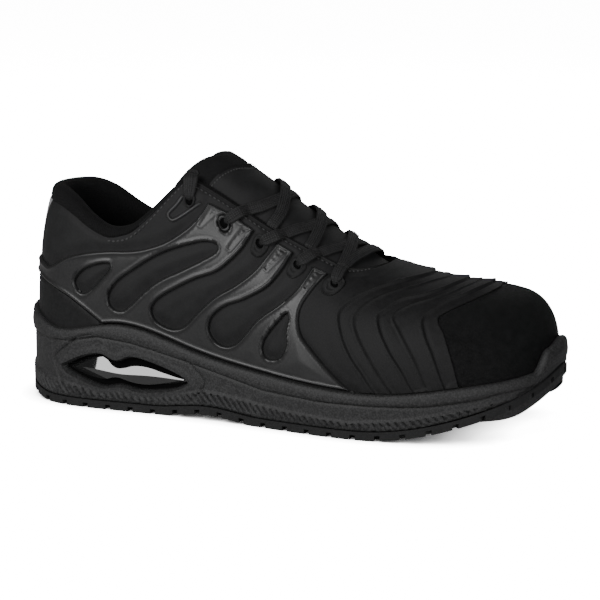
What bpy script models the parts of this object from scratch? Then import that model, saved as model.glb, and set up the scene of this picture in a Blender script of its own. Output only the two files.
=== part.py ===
# Low safety trainer for the right foot, at its real size in metres.
# The toe points along +X, the outer (lateral) side faces -Y and the tread stands on z = 0.
# One function gives the form of the last. The upper, the overlays, the tongue, the laces and the
# rim of the midsole are all cut from it.

import math

import bmesh
import bpy
import numpy as np
from mathutils import Vector
from mathutils.geometry import delaunay_2d_cdt

# Driving sizes
LENGTH = 0.300              # sole, heel to toe
BALL_WIDTH = 0.108          # sole, edge to edge at the ball
SOLE_HEIGHT = 0.050         # midsole's rim at the back of the heel
ANKLE_HEIGHT = 0.150        # top of the closed last, which the collar cuts
COLLAR_HEIGHT = 0.1125      # collar's top line at the back of the heel
GAP = 0.0003                # clearance between touching pieces

# Tread profile
TOE_SPRING = 0.0255         # lift of the tread at the tip of the toe
SPRING_START = 0.205        # where the toe spring leaves the floor
SPRING_POWER = 1.9
TOE_BEVEL = 0.030           # length of the bevel at the toe
TOE_LIFT = 0.0065
HEEL_BEVEL = 0.027          # length of the bevel at the back
HEEL_LIFT = 0.0062
ARCH_START = 0.085
ARCH_END = 0.152
ARCH_LIFT = 0.0028

# Sole
OUTSOLE_EDGE = 0.0045       # height of the outsole at its edge, lugs included
SOLE_JOINT = 0.0005         # clearance between outsole and midsole
LUG_DEPTH = 0.0026
LUG_PITCH = 0.0132
LUG_GROOVE = 0.0030
SIDE_LUG_WIDTH = 0.0150
RIM_WALL = 0.0040           # midsole wall round the upper
RIM_LIP = 0.0022            # width of the rim's flat top
RIM_CLEAR = 0.0015          # an overlay on the upper ends this far above the rim
RIM_BAND = 0.0065           # height of the proud band along the rim
RIM_STEP = 0.0012           # how far the side lies behind that band
POCKET_DEPTH = 0.0090       # how deep the upper sits in the midsole
SOLE_FLOOR = 0.0050         # least foam under the foot
FLOOR_BLEND = 0.0008
BUMPER_RISE = 0.0155        # extra height of the rim round the toe
BUMPER_SPAN = 0.073         # half of the bumper, as a share of one side
BUMPER_RAMP = 0.022
BUMPER_FACE = 0.42          # share of the bumper's rise that its sloped top takes
RIB_PITCH = 0.0088          # slanted ribs on the side of the midsole
RIB_DEPTH = 0.0009
RIB_SLANT = 0.0045
WINDOW_DEPTH = 0.0040       # recess in the heel that holds the cushion insert
INSERT_INSET = 0.0010       # clearance of the insert inside its recess
INSERT_RISE = 0.0028
INSERT_CROWN = 0.0035       # the insert's face is this much smaller all round

# Upper
WALL = 0.0028
PAD = 0.0085                # wall and padding at the collar's edge
PAD_DEPTH = 0.034           # how far the padding runs down
THROAT_HALF = 0.0252        # half of the throat opening, on the outer side at its front
THROAT_REAR = 0.0225        # the same where it meets the collar
THROAT_INNER = 0.80         # the inner half, as a share of the outer
THROAT_BACK = 0.0850        # where the collar's top line gives way to the throat
THROAT_END = 0.2070         # front end of the throat
THROAT_ROUND = 0.0220       # length of its rounded end
SEAT = 0.0006               # clearance under an overlay, over the facets of the upper
OVERLAY = 0.0012            # thickness of the moulded cage
COUNTER = 0.0008            # thickness of the heel counter panel
PLATE_STEP = 0.0006         # each vamp plate laps the next by this much
EYELET_MARGIN = 0.0110      # from the throat's edge to an eyelet's middle
EYELET_OUTER = 0.0046
EYELET_INNER = 0.0025
EYELET_HEIGHT = 0.0009
LACE_WIDTH = 0.0066
LACE_THICK = 0.0012
LACE_END = 0.0085           # a lace's end runs this far from its eyelet towards the throat's edge
TONGUE_DROP = 0.0036        # tongue's face below the last
TONGUE_TIP_DROP = 0.0025    # further below at its top
TONGUE_TOE_DROP = 0.0018    # further below where it ends under the vamp
TONGUE_THICK = 0.0040
INSOLE_THICK = 0.0040
INSOLE_CLEAR = 0.0010

# Resolution
COLUMN_COUNT = 64
WALL_ROWS = 9
INNER_ROWS = 5
OUTLINE_STEP = 0.0060       # between the points of an outline
PANEL_STEP = 0.0050         # the same on the heel
PLATE_EDGE_STEP = 0.0075
LACE_POINT_STEP = 0.0100
FILL_CLEAR = 0.0040         # from an outline to the points that fill it
COUNTER_FILL_CLEAR = 0.0020

# The overlays are drawn flat: along the sole, and around from the feather line to the ridge
SECTION_LENGTH = 0.115      # that way round, near the instep

# Round the sole: place along the length, outer edge and inner edge as shares of half the ball width,
# rim height as a share of SOLE_HEIGHT, the last's ridge line (share of length, of half width and of
# ANKLE_HEIGHT) and how full the section is on the outer and on the inner side.
STATIONS = [
    # name,         x,     outer,  inner, rim,  ridge x, ridge y, ridge z, full out, full in
    ("heel back",   0.000,  0.000, 0.00, 1.000, 0.170, 0.00, 1.000, 2.35, 2.35),
    ("heel corner", 0.022, -0.390, 0.38, 0.950, 0.175, 0.00, 1.000, 2.40, 2.40),
    ("heel side",   0.090, -0.675, 0.64, 0.830, 0.190, 0.00, 1.000, 2.50, 2.50),
    ("seat",        0.210, -0.755, 0.69, 0.930, 0.260, 0.00, 0.993, 2.40, 2.40),
    ("waist",       0.360, -0.785, 0.63, 0.734, 0.370, 0.00, 0.940, 2.20, 2.30),
    ("shank",       0.500, -0.875, 0.70, 0.574, 0.500, 0.02, 0.780, 2.00, 2.10),
    ("ball",        0.640, -1.000, 0.88, 0.494, 0.640, 0.04, 0.607, 2.00, 2.05),
    ("tread",       0.760, -0.985, 0.97, 0.500, 0.750, 0.05, 0.527, 2.15, 2.15),
    ("toe side",    0.870, -0.815, 0.88, 0.590, 0.830, 0.06, 0.507, 2.30, 2.30),
    ("toe corner",  0.950, -0.500, 0.62, 0.660, 0.875, 0.06, 0.503, 2.40, 2.40),
    ("toe near",    0.988, -0.185, 0.34, 0.720, 0.893, 0.06, 0.500, 2.45, 2.45),
    ("toe tip",     1.000,  0.080, 0.08, 0.740, 0.900, 0.06, 0.500, 2.45, 2.45),
]

# Collar's top line: share of LENGTH, share of COLLAR_HEIGHT
TOP_LINE = [
    (0.000, 1.000), (0.060, 1.010), (0.100, 0.995), (0.137, 0.925), (0.173, 0.853), (0.213, 0.822),
    (0.257, 0.889), (0.287, 0.987), (0.320, 1.085), (0.347, 1.156), (0.400, 1.320), (1.000, 3.200),
]

# Cage outline on each side: along (0 heel, 1 toe) and around (0 sole, 1 ridge). "corner" breaks the curve.
CAGE_EDGE = [
    (0.022, 0.205, "corner"), (0.085, 0.210, ""), (0.107, 0.215, ""), (0.145, 0.250, ""),
    (0.215, 0.272, ""), (0.285, 0.295, ""), (0.330, 0.350, ""), (0.365, 0.440, ""),
    (0.383, 0.540, "corner"), (0.460, 0.550, "corner"),
    (0.448, 0.460, ""), (0.408, 0.320, ""), (0.338, 0.205, ""), (0.303, 0.130, ""), (0.320, 0.087, ""),
    (0.360, 0.112, ""), (0.410, 0.240, ""), (0.470, 0.395, ""), (0.500, 0.575, "corner"),
    (0.527, 0.580, "corner"),
    (0.512, 0.465, ""), (0.485, 0.345, ""), (0.422, 0.220, ""), (0.401, 0.140, ""), (0.425, 0.100, ""),
    (0.455, 0.145, ""), (0.515, 0.320, ""), (0.545, 0.445, ""), (0.560, 0.575, "corner"),
    (0.584, 0.580, "corner"),
    (0.562, 0.450, ""), (0.549, 0.330, ""), (0.575, 0.220, ""), (0.638, 0.110, ""),
]
CAGE_HEEL = [(0.182, 0.120), (0.147, 0.152), (0.098, 0.165), (0.022, 0.160)]
CAGE_SPAN = (0.215, 0.648)  # where the cage meets the rim
DROP_REAR = [
    (0.168, 0.188), (0.180, 0.215), (0.200, 0.230), (0.231, 0.232), (0.217, 0.190), (0.193, 0.152),
    (0.175, 0.162),
]
DROP_LONG = [
    (0.410, 0.398), (0.390, 0.400), (0.355, 0.355), (0.290, 0.262), (0.242, 0.180), (0.230, 0.130),
    (0.246, 0.092), (0.268, 0.115), (0.315, 0.215), (0.383, 0.330),
]
DROP_FRONT = [
    (0.531, 0.312), (0.517, 0.265), (0.496, 0.185), (0.494, 0.125), (0.512, 0.116), (0.533, 0.165),
    (0.532, 0.240),
]

# Reflective strip up the back of the heel: half width along the sole, height as a share of the collar's
HEEL_STRIP = [(0.019, 0.500), (0.019, 0.650), (0.024, 0.820), (0.029, 0.960)]
STRIP_THICK = 0.0005

# Edges of the vamp plates on the outer side, from the rim up to the ridge; the inner side mirrors them
PLATE_BACK = [
    (0.652, 0.100), (0.600, 0.185), (0.576, 0.250), (0.566, 0.330), (0.574, 0.400), (0.602, 0.450),
    (0.618, 0.520), (0.616, 0.590), (0.634, 0.680), (0.655, 0.750), (0.668, 0.850), (0.674, 1.000),
]
PLATE_REAR = [(0.690, 0.080), (0.642, 0.240), (0.616, 0.400), (0.632, 0.510), (0.675, 0.680), (0.735, 1.000)]
PLATE_MIDDLE = [
    (0.748, 0.080), (0.703, 0.300), (0.677, 0.470), (0.700, 0.585), (0.750, 0.700), (0.807, 1.000),
]
PLATE_FRONT = [(0.795, 0.080), (0.762, 0.350), (0.748, 0.500), (0.775, 0.610), (0.822, 0.730), (0.880, 1.000)]

# Eyelets, top pair first: place along each side
EYELETS = [0.352, 0.413, 0.470, 0.538, 0.601]
UPPER_CROSSING = 1          # laces cross from this pair down

# Tongue: its span along the sides, its half width round the last and how it narrows to its top
TONGUE_SPAN = (0.335, 0.700)
TONGUE_HALF = 0.50
TONGUE_TIP = 0.50
TONGUE_TAPER = 0.060
TONGUE_TIP_SPAN = 0.070     # the top's further drop fades out over this
TONGUE_TOE_SPAN = (0.570, 0.060)

# Heel window on the side of the midsole: along, height as a share of SOLE_HEIGHT
WINDOW = [
    (0.148, 0.410), (0.185, 0.545), (0.218, 0.590), (0.243, 0.530), (0.270, 0.585), (0.313, 0.530),
    (0.366, 0.385), (0.340, 0.285), (0.285, 0.235), (0.250, 0.270), (0.220, 0.240), (0.180, 0.320),
]

# Top of the ribbed band: along, height above the tread as a share of SOLE_HEIGHT
RIB_TOP = [
    (0.00, 0.26), (0.15, 0.24), (0.26, 0.24), (0.40, 0.30), (0.50, 0.26), (0.65, 0.20), (0.80, 0.19),
    (1.00, 0.16),
]


# Curves and the form of the last

def periodic_curve(knots, values, period):
    # closed smooth curve through the values, with continuous curvature
    knots, values = np.asarray(knots, float), np.asarray(values, float)
    count = len(knots)
    step = np.diff(np.append(knots, knots[0] + period))
    rise = (np.roll(values, -1) - values) / step
    matrix, right = np.zeros((count, count)), np.zeros(count)
    for i in range(count):
        matrix[i, i - 1] += step[i]
        matrix[i, i] += 2 * (step[i - 1] + step[i])
        matrix[i, (i + 1) % count] += step[i - 1]
        right[i] = 3 * (step[i] * rise[i - 1] + step[i - 1] * rise[i])
    slope = np.linalg.solve(matrix, right)

    def value(at):
        at = (np.asarray(at, float) - knots[0]) % period + knots[0]
        i = np.clip(np.searchsorted(knots, at, side="right") - 1, 0, count - 1)
        j = (i + 1) % count
        s = (at - knots[i]) / step[i]
        start = values[i] * (2 * s**3 - 3 * s**2 + 1) + step[i] * slope[i] * (s**3 - 2 * s**2 + s)
        end = values[j] * (3 * s**2 - 2 * s**3) + step[i] * slope[j] * (s**3 - s**2)
        return start + end

    return value


def smooth(t):
    t = np.clip(t, 0.0, 1.0)
    return t * t * (3 - 2 * t)


def column(index):
    return np.array([row[index] for row in STATIONS])


HALF = BALL_WIDTH / 2
STATION_X = column(1) * LENGTH
STATION_OUT = column(2) * HALF
STATION_IN = column(3) * HALF
CHORD_OUT = np.hypot(np.diff(STATION_X), np.diff(STATION_OUT))
CHORD_IN = np.hypot(np.diff(STATION_X), np.diff(STATION_IN))
CHORD = (CHORD_OUT + CHORD_IN) / 2
SIDE_LENGTH = float(CHORD.sum())
ALONG = np.concatenate([[0.0], np.cumsum(CHORD)]) / SIDE_LENGTH
AROUND_SOLE = np.concatenate([ALONG, (2 - ALONG[1:-1])[::-1]])


def round_sole(outer, inner):
    # a value round the sole: 0 heel, 0 to 1 outer side, 1 toe, 1 to 2 inner side
    return periodic_curve(AROUND_SOLE, np.concatenate([outer, inner[1:-1][::-1]]), 2.0)


edge_x = round_sole(STATION_X, STATION_X)
edge_y = round_sole(STATION_OUT, STATION_IN)
rim_height = round_sole(column(4) * SOLE_HEIGHT, column(4) * SOLE_HEIGHT)
ridge_x = round_sole(column(5) * LENGTH, column(5) * LENGTH)
ridge_y = round_sole(column(6) * HALF, column(6) * HALF)
ridge_z = round_sole(column(7) * ANKLE_HEIGHT, column(7) * ANKLE_HEIGHT)
fullness = round_sole(column(8), column(9))


def sole_edge(u, inset=0.0):
    step = 1e-4
    x, y = edge_x(u), edge_y(u)
    dx = edge_x(u + step) - edge_x(u - step)
    dy = edge_y(u + step) - edge_y(u - step)
    size = np.hypot(dx, dy)
    return x - inset * dy / size, y + inset * dx / size


def tread_height(x):
    x = np.asarray(x, float)
    heel = HEEL_LIFT * np.clip(1 - x / HEEL_BEVEL, 0, 1) ** 2
    arch = ARCH_LIFT * np.sin(np.pi * np.clip((x - ARCH_START) / (ARCH_END - ARCH_START), 0, 1)) ** 2
    toe = TOE_SPRING * np.clip((x - SPRING_START) / (LENGTH - SPRING_START), 0, 1.02) ** SPRING_POWER
    bevel = TOE_LIFT * np.clip(1 - (LENGTH - x) / TOE_BEVEL, 0, 1) ** 4
    return heel + arch + toe + bevel


def base_height(u):
    # the pocket's floor follows the rim, and the tread where the toe springs up
    low = rim_height(u) - POCKET_DEPTH
    least = tread_height(edge_x(u)) + OUTSOLE_EDGE + SOLE_FLOOR
    return (low + least) / 2 + np.sqrt(((low - least) / 2) ** 2 + FLOOR_BLEND**2)


def section(u, q):
    # a superellipse from the feather line (q = 0) up to the ridge (q = 1)
    c = np.maximum(np.cos(q * np.pi / 2), 1e-9)
    s = np.maximum(np.sin(q * np.pi / 2), 0.0)
    k = fullness(u)
    r = (c**k + s**k) ** (-1 / k)
    base_x, base_y = sole_edge(u, RIM_WALL)
    top_x, top_y, top_z = ridge_x(u), ridge_y(u), ridge_z(u)
    base_z = base_height(u)
    return np.stack([
        top_x + (base_x - top_x) * r * c, top_y + (base_y - top_y) * r * c, base_z + (top_z - base_z) * r * s,
    ], -1)


def last(u, q, lift=0.0):
    # a point of the last, lifted off its surface
    u, q = np.broadcast_arrays(np.asarray(u, float), np.asarray(q, float))
    step = 1e-4
    along = section(u + step, q) - section(u - step, q)
    up = section(u, np.minimum(q + step, 1.0)) - section(u, np.maximum(q - step, 0.0))
    normal = np.cross(along, up)
    normal /= np.linalg.norm(normal, axis=-1, keepdims=True)
    return section(u, q) + normal * np.asarray(lift)[..., None]


def first_above(u, test):
    # smallest q on column u where test(point) turns positive, or 1
    q = np.linspace(0.0, 1.0, 241)
    value = test(section(np.full(len(q), u), q), q)
    above = np.nonzero(value > 0)[0]
    if not len(above):
        return 1.0
    i = above[0]
    if i == 0:
        return 0.0
    return float(q[i - 1] + (q[i] - q[i - 1]) * value[i - 1] / (value[i - 1] - value[i]))


def bumper(u):
    away = np.abs((np.asarray(u) % 2.0) - 1.0)
    return BUMPER_RISE * smooth((BUMPER_SPAN - away) / BUMPER_RAMP)


def rim_around(u, above=0.0):
    top = float(rim_height(u) + bumper(u)) + above
    return first_above(u, lambda p, q: p[:, 2] - top)


def throat_half(x):
    taper = np.clip((x - (THROAT_END - THROAT_ROUND)) / THROAT_ROUND, 0.0, 1.0)
    half = np.interp(x, [THROAT_BACK, (THROAT_BACK + THROAT_END) / 2], [THROAT_REAR, THROAT_HALF])
    return half * np.sqrt(np.maximum(1 - taper**2, 0.0)) - np.where(x > THROAT_END, 1.0, 0.0)


TOP_X = np.array([row[0] for row in TOP_LINE]) * LENGTH
TOP_Z = np.array([row[1] for row in TOP_LINE]) * COLLAR_HEIGHT


def top_line(x):
    return np.interp(x, TOP_X, TOP_Z)


def open_around(u):
    # where the collar or the throat cuts column u
    side = 1.0 if u % 2.0 <= 1.0 else THROAT_INNER

    def outside(p, q):
        collar = p[:, 2] - top_line(p[:, 0])
        throat = throat_half(p[:, 0]) * side - np.abs(p[:, 1] - float(ridge_y(u)))
        return np.maximum(collar, np.where(p[:, 0] > THROAT_BACK, throat, -1.0))
    return first_above(u, outside)


def loft_columns():
    # even columns, with more at the corners of the toe bumper and at the end of the throat
    even = np.arange(COLUMN_COUNT // 2 + 1) * 2.0 / COLUMN_COUNT
    extra = [1 - BUMPER_SPAN, 1 - BUMPER_SPAN + BUMPER_RAMP / 2, 1 - BUMPER_SPAN + BUMPER_RAMP]
    throat = throat_end()
    extra += [throat, throat - 0.004, throat - 0.012]
    side = sorted(set(even[np.all(np.abs(even[:, None] - np.array(extra)) > 0.006, axis=1)]) | set(extra))
    side = [u for u in side if 0 < u < 1]
    return np.array([0.0] + side + [1.0] + [2 - u for u in reversed(side)])


def throat_end():
    low, high = 0.5, 0.9
    for _ in range(40):
        middle = (low + high) / 2
        if float(ridge_x(middle)) < THROAT_END:
            low = middle
        else:
            high = middle
    return low


def sheet_point(u, t, lift):
    # t runs over the last: -1 outer feather line, 0 ridge, 1 inner feather line
    u, t = np.asarray(u, float), np.asarray(t, float)
    side = np.where(t <= 0, u, 2 - u)
    return last(side, 1 - np.abs(t), lift)


# Outlines in the plane

def curve_through(points, closed, spacing):
    # smooth curve through points, with a point every spacing or so
    points = np.asarray(points, float)
    count = len(points)
    span = count if closed else count - 1
    out = []
    for i in range(span):
        p1, p2 = points[i], points[(i + 1) % count]
        p0 = points[i - 1] if closed or i > 0 else p1
        p3 = points[(i + 2) % count] if closed or i + 2 < count else p2
        length = np.linalg.norm(p2 - p1)
        before, after = np.linalg.norm(p1 - p0), np.linalg.norm(p3 - p2)
        m1 = (p2 - p0) / (length + before) * length
        m2 = (p3 - p1) / (length + after) * length
        steps = max(1, round(length / spacing))
        for s in np.arange(steps) / steps:
            out.append(p1 * (2 * s**3 - 3 * s**2 + 1) + m1 * (s**3 - 2 * s**2 + s)
                       + p2 * (3 * s**2 - 2 * s**3) + m2 * (s**3 - s**2))
    if not closed:
        out.append(points[-1])
    return np.array(out)


def inside(points, ring):
    points, ring = np.atleast_2d(points), np.asarray(ring)
    x, y = points[:, 0], points[:, 1]
    result = np.zeros(len(points), bool)
    for a, b in zip(ring, np.roll(ring, -1, axis=0)):
        crosses = (a[1] > y) != (b[1] > y)
        with np.errstate(divide="ignore", invalid="ignore"):
            at = a[0] + (y - a[1]) * (b[0] - a[0]) / (b[1] - a[1])
        result ^= crosses & (x < at)
    return result


def clear_of(points, lines, distance):
    keep = np.ones(len(points), bool)
    for line, closed in lines:
        ends = np.roll(line, -1, axis=0) if closed else line[1:]
        for a, b in zip(line if closed else line[:-1], ends):
            along = b - a
            t = np.clip(((points - a) @ along) / max(along @ along, 1e-12), 0, 1)
            keep &= np.linalg.norm(points - (a + t[:, None] * along), axis=1) > distance
    return points[keep]


def divide_plane(lines, fill):
    # triangles of the plane that keep every line; lines are (points, closed)
    points, edges = [], []
    for line, closed in lines:
        start = len(points)
        points += [Vector(p) for p in line]
        edges += [(start + i, start + i + 1) for i in range(len(line) - 1)]
        if closed:
            edges.append((start + len(line) - 1, start))
    points += [Vector(p) for p in fill]
    result = delaunay_2d_cdt(points, edges, [], 0, 1e-6)
    return np.array([tuple(p) for p in result[0]]), [tuple(f) for f in result[2]]


# Meshes

def add_object(name, points, faces, material, flat=False):
    mesh = bpy.data.meshes.new(name)
    mesh.from_pydata([tuple(map(float, p)) for p in points], [], [tuple(f) for f in faces])
    work = bmesh.new()
    work.from_mesh(mesh)
    bmesh.ops.recalc_face_normals(work, faces=work.faces)
    bmesh.ops.triangulate(work, faces=work.faces)
    work.to_mesh(mesh)
    work.free()
    if not flat:
        mesh.shade_smooth()
        mesh.set_sharp_from_angle(angle=math.radians(40))
    mesh.materials.append(material)
    piece = bpy.data.objects.new(name, mesh)
    bpy.context.collection.objects.link(piece)
    return piece


def stepped_solid(name, points, triangles, levels, place, material, base=None):
    # a closed sheet whose outer face stands at its own level over each triangle; the back is the same
    # triangles at level 0, or the faces that base makes from the corners at level 0
    used, outward = {}, {}
    for triangle, level in zip(triangles, levels):
        if level == 0:
            continue
        for i in range(3):
            a, b = triangle[i], triangle[(i + 1) % 3]
            outward[(a, b)] = level
            used.setdefault(a, {0}).add(level)
    index, corners, faces = {}, [], []

    def corner(point, level):
        if (point, level) not in index:
            index[(point, level)] = len(corners)
            corners.append((point, level))
        return index[(point, level)]

    for triangle, level in zip(triangles, levels):
        if level:
            faces.append([corner(i, level) for i in triangle])
            if base is None:
                faces.append([corner(i, 0) for i in reversed(triangle)])
    for (a, b), level in outward.items():
        other = outward.get((b, a), 0)
        if level > other:
            down = sorted((v for v in used[a] if other < v < level), reverse=True)
            up = sorted(v for v in used[b] if other < v < level)
            loop = [(a, level)] + [(a, v) for v in down] + [(a, other)]
            loop += [(b, other)] + [(b, v) for v in up] + [(b, level)]
            faces.append([corner(*item) for item in loop])
    if base is not None:
        base(faces, corner)
    which = np.array([c[0] for c in corners])
    height = np.array([c[1] for c in corners])
    return add_object(name, place(points[which], height), faces, material)


def paint(name, color, roughness, metallic=0.0):
    material = bpy.data.materials.new(name)
    material.use_nodes = True
    shader = material.node_tree.nodes["Principled BSDF"]
    shader.inputs["Base Color"].default_value = (*color, 1.0)
    shader.inputs["Roughness"].default_value = roughness
    shader.inputs["Metallic"].default_value = metallic
    return material


# Sole

def side_profile(u):
    # the midsole's side, from its lower edge up to the rim: (inset, height)
    bottom = float(tread_height(edge_x(u))) + OUTSOLE_EDGE + SOLE_JOINT
    rise = float(bumper(u))
    rim = float(rim_height(u)) + rise
    crown = rim - BUMPER_FACE * rise
    band = crown - min(RIM_BAND, (crown - bottom) / 2)
    share = np.interp(1 - abs(u - 1), [row[0] for row in RIB_TOP], [row[1] for row in RIB_TOP])
    ribs = bottom + min(share * SOLE_HEIGHT - OUTSOLE_EDGE, (band - bottom) / 2)
    step = min(RIM_STEP, (band - ribs) / 4)
    edge = (ribs - bottom) / 6
    return [
        (0.0, crown - RIM_LIP), (0.0, band), (RIM_STEP, band - step),
        (RIM_STEP, ribs + step), (0.0, ribs), (0.0, ribs - edge), (0.0, bottom + edge), (0.0, bottom),
    ]


def make_midsole(columns, material):
    # each column: pocket floor, pocket wall, rim, side with its ribs, and the underside
    count = len(columns)
    points, rings = [], []

    def ring(values):
        rings.append(list(range(len(points), len(points) + count)))
        points.extend(values)

    def at(u, inset, z):
        x, y = sole_edge(u, inset)
        return (float(x), float(y), z)

    def on_last(u, share):
        q = rim_around(u) * share
        return tuple(last(u, q, GAP))

    ring([at(u, RIM_WALL - GAP, float(base_height(u)) - GAP) for u in columns])
    ring([on_last(u, 0.5) for u in columns])
    ring([on_last(u, 1.0) for u in columns])
    lips = []
    for u in columns:
        inner = np.array(on_last(u, 1.0))
        x, y = sole_edge(u, 0.0)
        base = np.array([*sole_edge(u, RIM_WALL)])
        out = np.array([float(x), float(y)]) - base
        out /= np.linalg.norm(out)
        lips.append((inner[0] + out[0] * RIM_LIP, inner[1] + out[1] * RIM_LIP, inner[2] - GAP))
    ring(lips)
    profile = [side_profile(u) for u in columns]
    for level in range(5):
        ring([at(u, *p[level]) for u, p in zip(columns, profile)])
    faces = []
    for lower, upper in zip(rings[:-1], rings[1:]):
        for i in range(count):
            j = (i + 1) % count
            faces.append((lower[i], lower[j], upper[j], upper[i]))
    # slanted ribs between two fine rings
    fine = []
    fine_count = 4 * int(round(SIDE_LENGTH / RIB_PITCH))
    places = np.arange(fine_count) * 2.0 / fine_count
    for level in (5, 6):
        row = []
        for k, u in enumerate(places):
            fade = float(smooth((0.5 - abs(abs(u - 1) - 0.5)) / 0.06))
            slant = RIB_SLANT / SIDE_LENGTH * (5.5 - level) * fade * (1 if u < 1 else -1)
            place = (u + slant) % 2.0
            deep, z = side_profile(place)[level]
            row.append(len(points))
            points.append(at(place, deep + (RIB_DEPTH if k % 2 else 0.0), z))
        fine.append(row)
    bottom = list(range(len(points), len(points) + count))
    points.extend(at(u, *p[7]) for u, p in zip(columns, profile))
    join_rings(faces, rings[-1], columns, fine[0], places)
    for k in range(fine_count):
        j = (k + 1) % fine_count
        faces.append((fine[0][k], fine[0][j], fine[1][j], fine[1][k]))
    join_rings(faces, fine[1], places, bottom, columns)
    ladder(faces, rings[0])
    ladder(faces, bottom)
    return add_object("midsole", points, faces, material)


def join_rings(faces, first, first_places, second, second_places):
    # triangles between two closed rings that have different places round the sole
    a, b = list(first_places) + [2.0], list(second_places) + [2.0]
    i = j = 0
    while i < len(first) or j < len(second):
        here, there = first[i % len(first)], second[j % len(second)]
        if j == len(second) or (i < len(first) and a[i + 1] <= b[j + 1]):
            i += 1
            faces.append((here, first[i % len(first)], there))
        else:
            j += 1
            faces.append((here, second[j % len(second)], there))


def ladder(faces, ring):
    # fills a ring across the shoe, between the columns that face each other
    count = len(ring)
    half = count // 2
    for i in range(half):
        a, b = ring[i], ring[i + 1]
        c, d = ring[(count - i - 1) % count], ring[(count - i) % count]
        if i == 0:
            faces.append((a, b, c))
        elif i == half - 1:
            faces.append((a, b, d))
        else:
            faces.append((a, b, c, d))


def make_outsole(material):
    # lugs round the edge and chevrons down the middle, on a thin web that follows the tread
    side_count = int(round(SIDE_LENGTH / LUG_PITCH))
    groove = LUG_GROOVE / SIDE_LENGTH / 2
    edge_marks, lugs = [], []
    for k in range(2 * side_count):
        start, end = k / side_count + groove, (k + 1) / side_count - groove
        middle = (start + end) / 2
        lean = LUG_GROOVE / SIDE_LENGTH * math.sin(math.pi * middle)
        outer = [np.array(sole_edge(u)) for u in (start, middle, end)]
        halfway = [np.array(sole_edge(u - lean / 2, SIDE_LUG_WIDTH / 2)) for u in (end, start)]
        inner = [np.array(sole_edge(u - lean, SIDE_LUG_WIDTH)) for u in (end - groove, start + groove)]
        edge_marks += outer
        lugs.append(np.array(outer + [halfway[0]] + inner + [halfway[1]]))
    reach = SIDE_LUG_WIDTH + LUG_GROOVE
    x = HEEL_BEVEL + LUG_GROOVE
    while x + LUG_PITCH < LENGTH - 2 * reach:
        rows = []
        for at_x in (x, x + LUG_PITCH - LUG_GROOVE):
            u = np.interp(at_x, STATION_X, ALONG)
            left, right = np.array(sole_edge(u, reach)), np.array(sole_edge(2 - u, reach))
            centre = (left + right) / 2 + np.array([LUG_PITCH / 2, 0.0])
            rows.append([left, centre, right])
        lugs.append(np.array(rows[0] + rows[1][::-1]))
        x += LUG_PITCH
    points, triangles = divide_plane([(np.array(edge_marks), True)] + [(ring, True) for ring in lugs], [])
    centres = np.array([points[list(t)].mean(axis=0) for t in triangles])
    levels = np.where(inside(centres, np.array(edge_marks)), 1, 0)
    for ring in lugs:
        levels[inside(centres, ring)] = 2

    def place(flat, level):
        tread = tread_height(flat[:, 0])
        z = np.select([level == 0, level == 1], [tread + OUTSOLE_EDGE, tread + LUG_DEPTH], tread)
        return np.column_stack([flat, z])

    def flat_top(faces, corner):
        # the marks lie evenly on both sides of the toe, so the top is a ladder between them
        count = len(edge_marks)
        order = [int(np.argmin(np.linalg.norm(points - mark, axis=1))) for mark in edge_marks]
        ring = [corner(i, 0) for i in order]
        for i in range(count // 2 - 1):
            faces.append((ring[i], ring[i + 1], ring[count - 2 - i], ring[count - 1 - i]))

    return stepped_solid("outsole", points, triangles, levels, place, material, flat_top)


def window_ring(side, grow):
    # the heel window's outline, as places round the sole and heights
    ring = curve_through([(a * SIDE_LENGTH, z * SOLE_HEIGHT) for a, z in WINDOW], True, OUTLINE_STEP)
    centre = ring.mean(axis=0)
    span = ring.max(axis=0) - centre
    ring = centre + (ring - centre) * (1 + grow / span)
    u = ring[:, 0] / SIDE_LENGTH
    return (u if side < 0 else 2 - u), ring[:, 1]


def window_solid(name, side, grow, faces_at, material):
    # a plug through the window: rings at each inset, the outermost may end in a ridge
    points, rings = [], []
    for inset, shrink in faces_at:
        u, z = window_ring(side, grow - shrink)
        x, y = sole_edge(u, inset)
        rings.append(list(range(len(points), len(points) + len(u))))
        points += list(zip(x, y, z))
    count = len(rings[0])
    faces = []
    for a, b in zip(rings[:-1], rings[1:]):
        faces += [(a[i], a[(i + 1) % count], b[(i + 1) % count], b[i]) for i in range(count)]
    for ring in (rings[0], rings[-1]):
        spine = np.array([points[i] for i in ring]).mean(axis=0)
        points.append(tuple(spine))
        hub = len(points) - 1
        faces += [(ring[i], ring[(i + 1) % count], hub) for i in range(count)]
    return add_object(name, points, faces, material)


def cut_window(midsole, side, material):
    name = "window_cutter_outer" if side < 0 else "window_cutter_inner"
    cutter = window_solid(name, side, 0.0, [(-WINDOW_DEPTH, 0.0), (WINDOW_DEPTH, RIM_STEP)], material)
    cutter.hide_render = True
    cutter.display_type = "WIRE"
    cut = midsole.modifiers.new(name, "BOOLEAN")
    cut.operation = "DIFFERENCE"
    cut.object = cutter
    return cutter


def make_insert(side, material):
    name = "heel_cushion_outer" if side < 0 else "heel_cushion_inner"
    back = WINDOW_DEPTH - GAP
    layers = [(back, RIM_STEP), (back - INSERT_RISE * 0.4, RIM_STEP), (back - INSERT_RISE, INSERT_CROWN)]
    return window_solid(name, side, -INSERT_INSET, layers, material)


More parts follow.
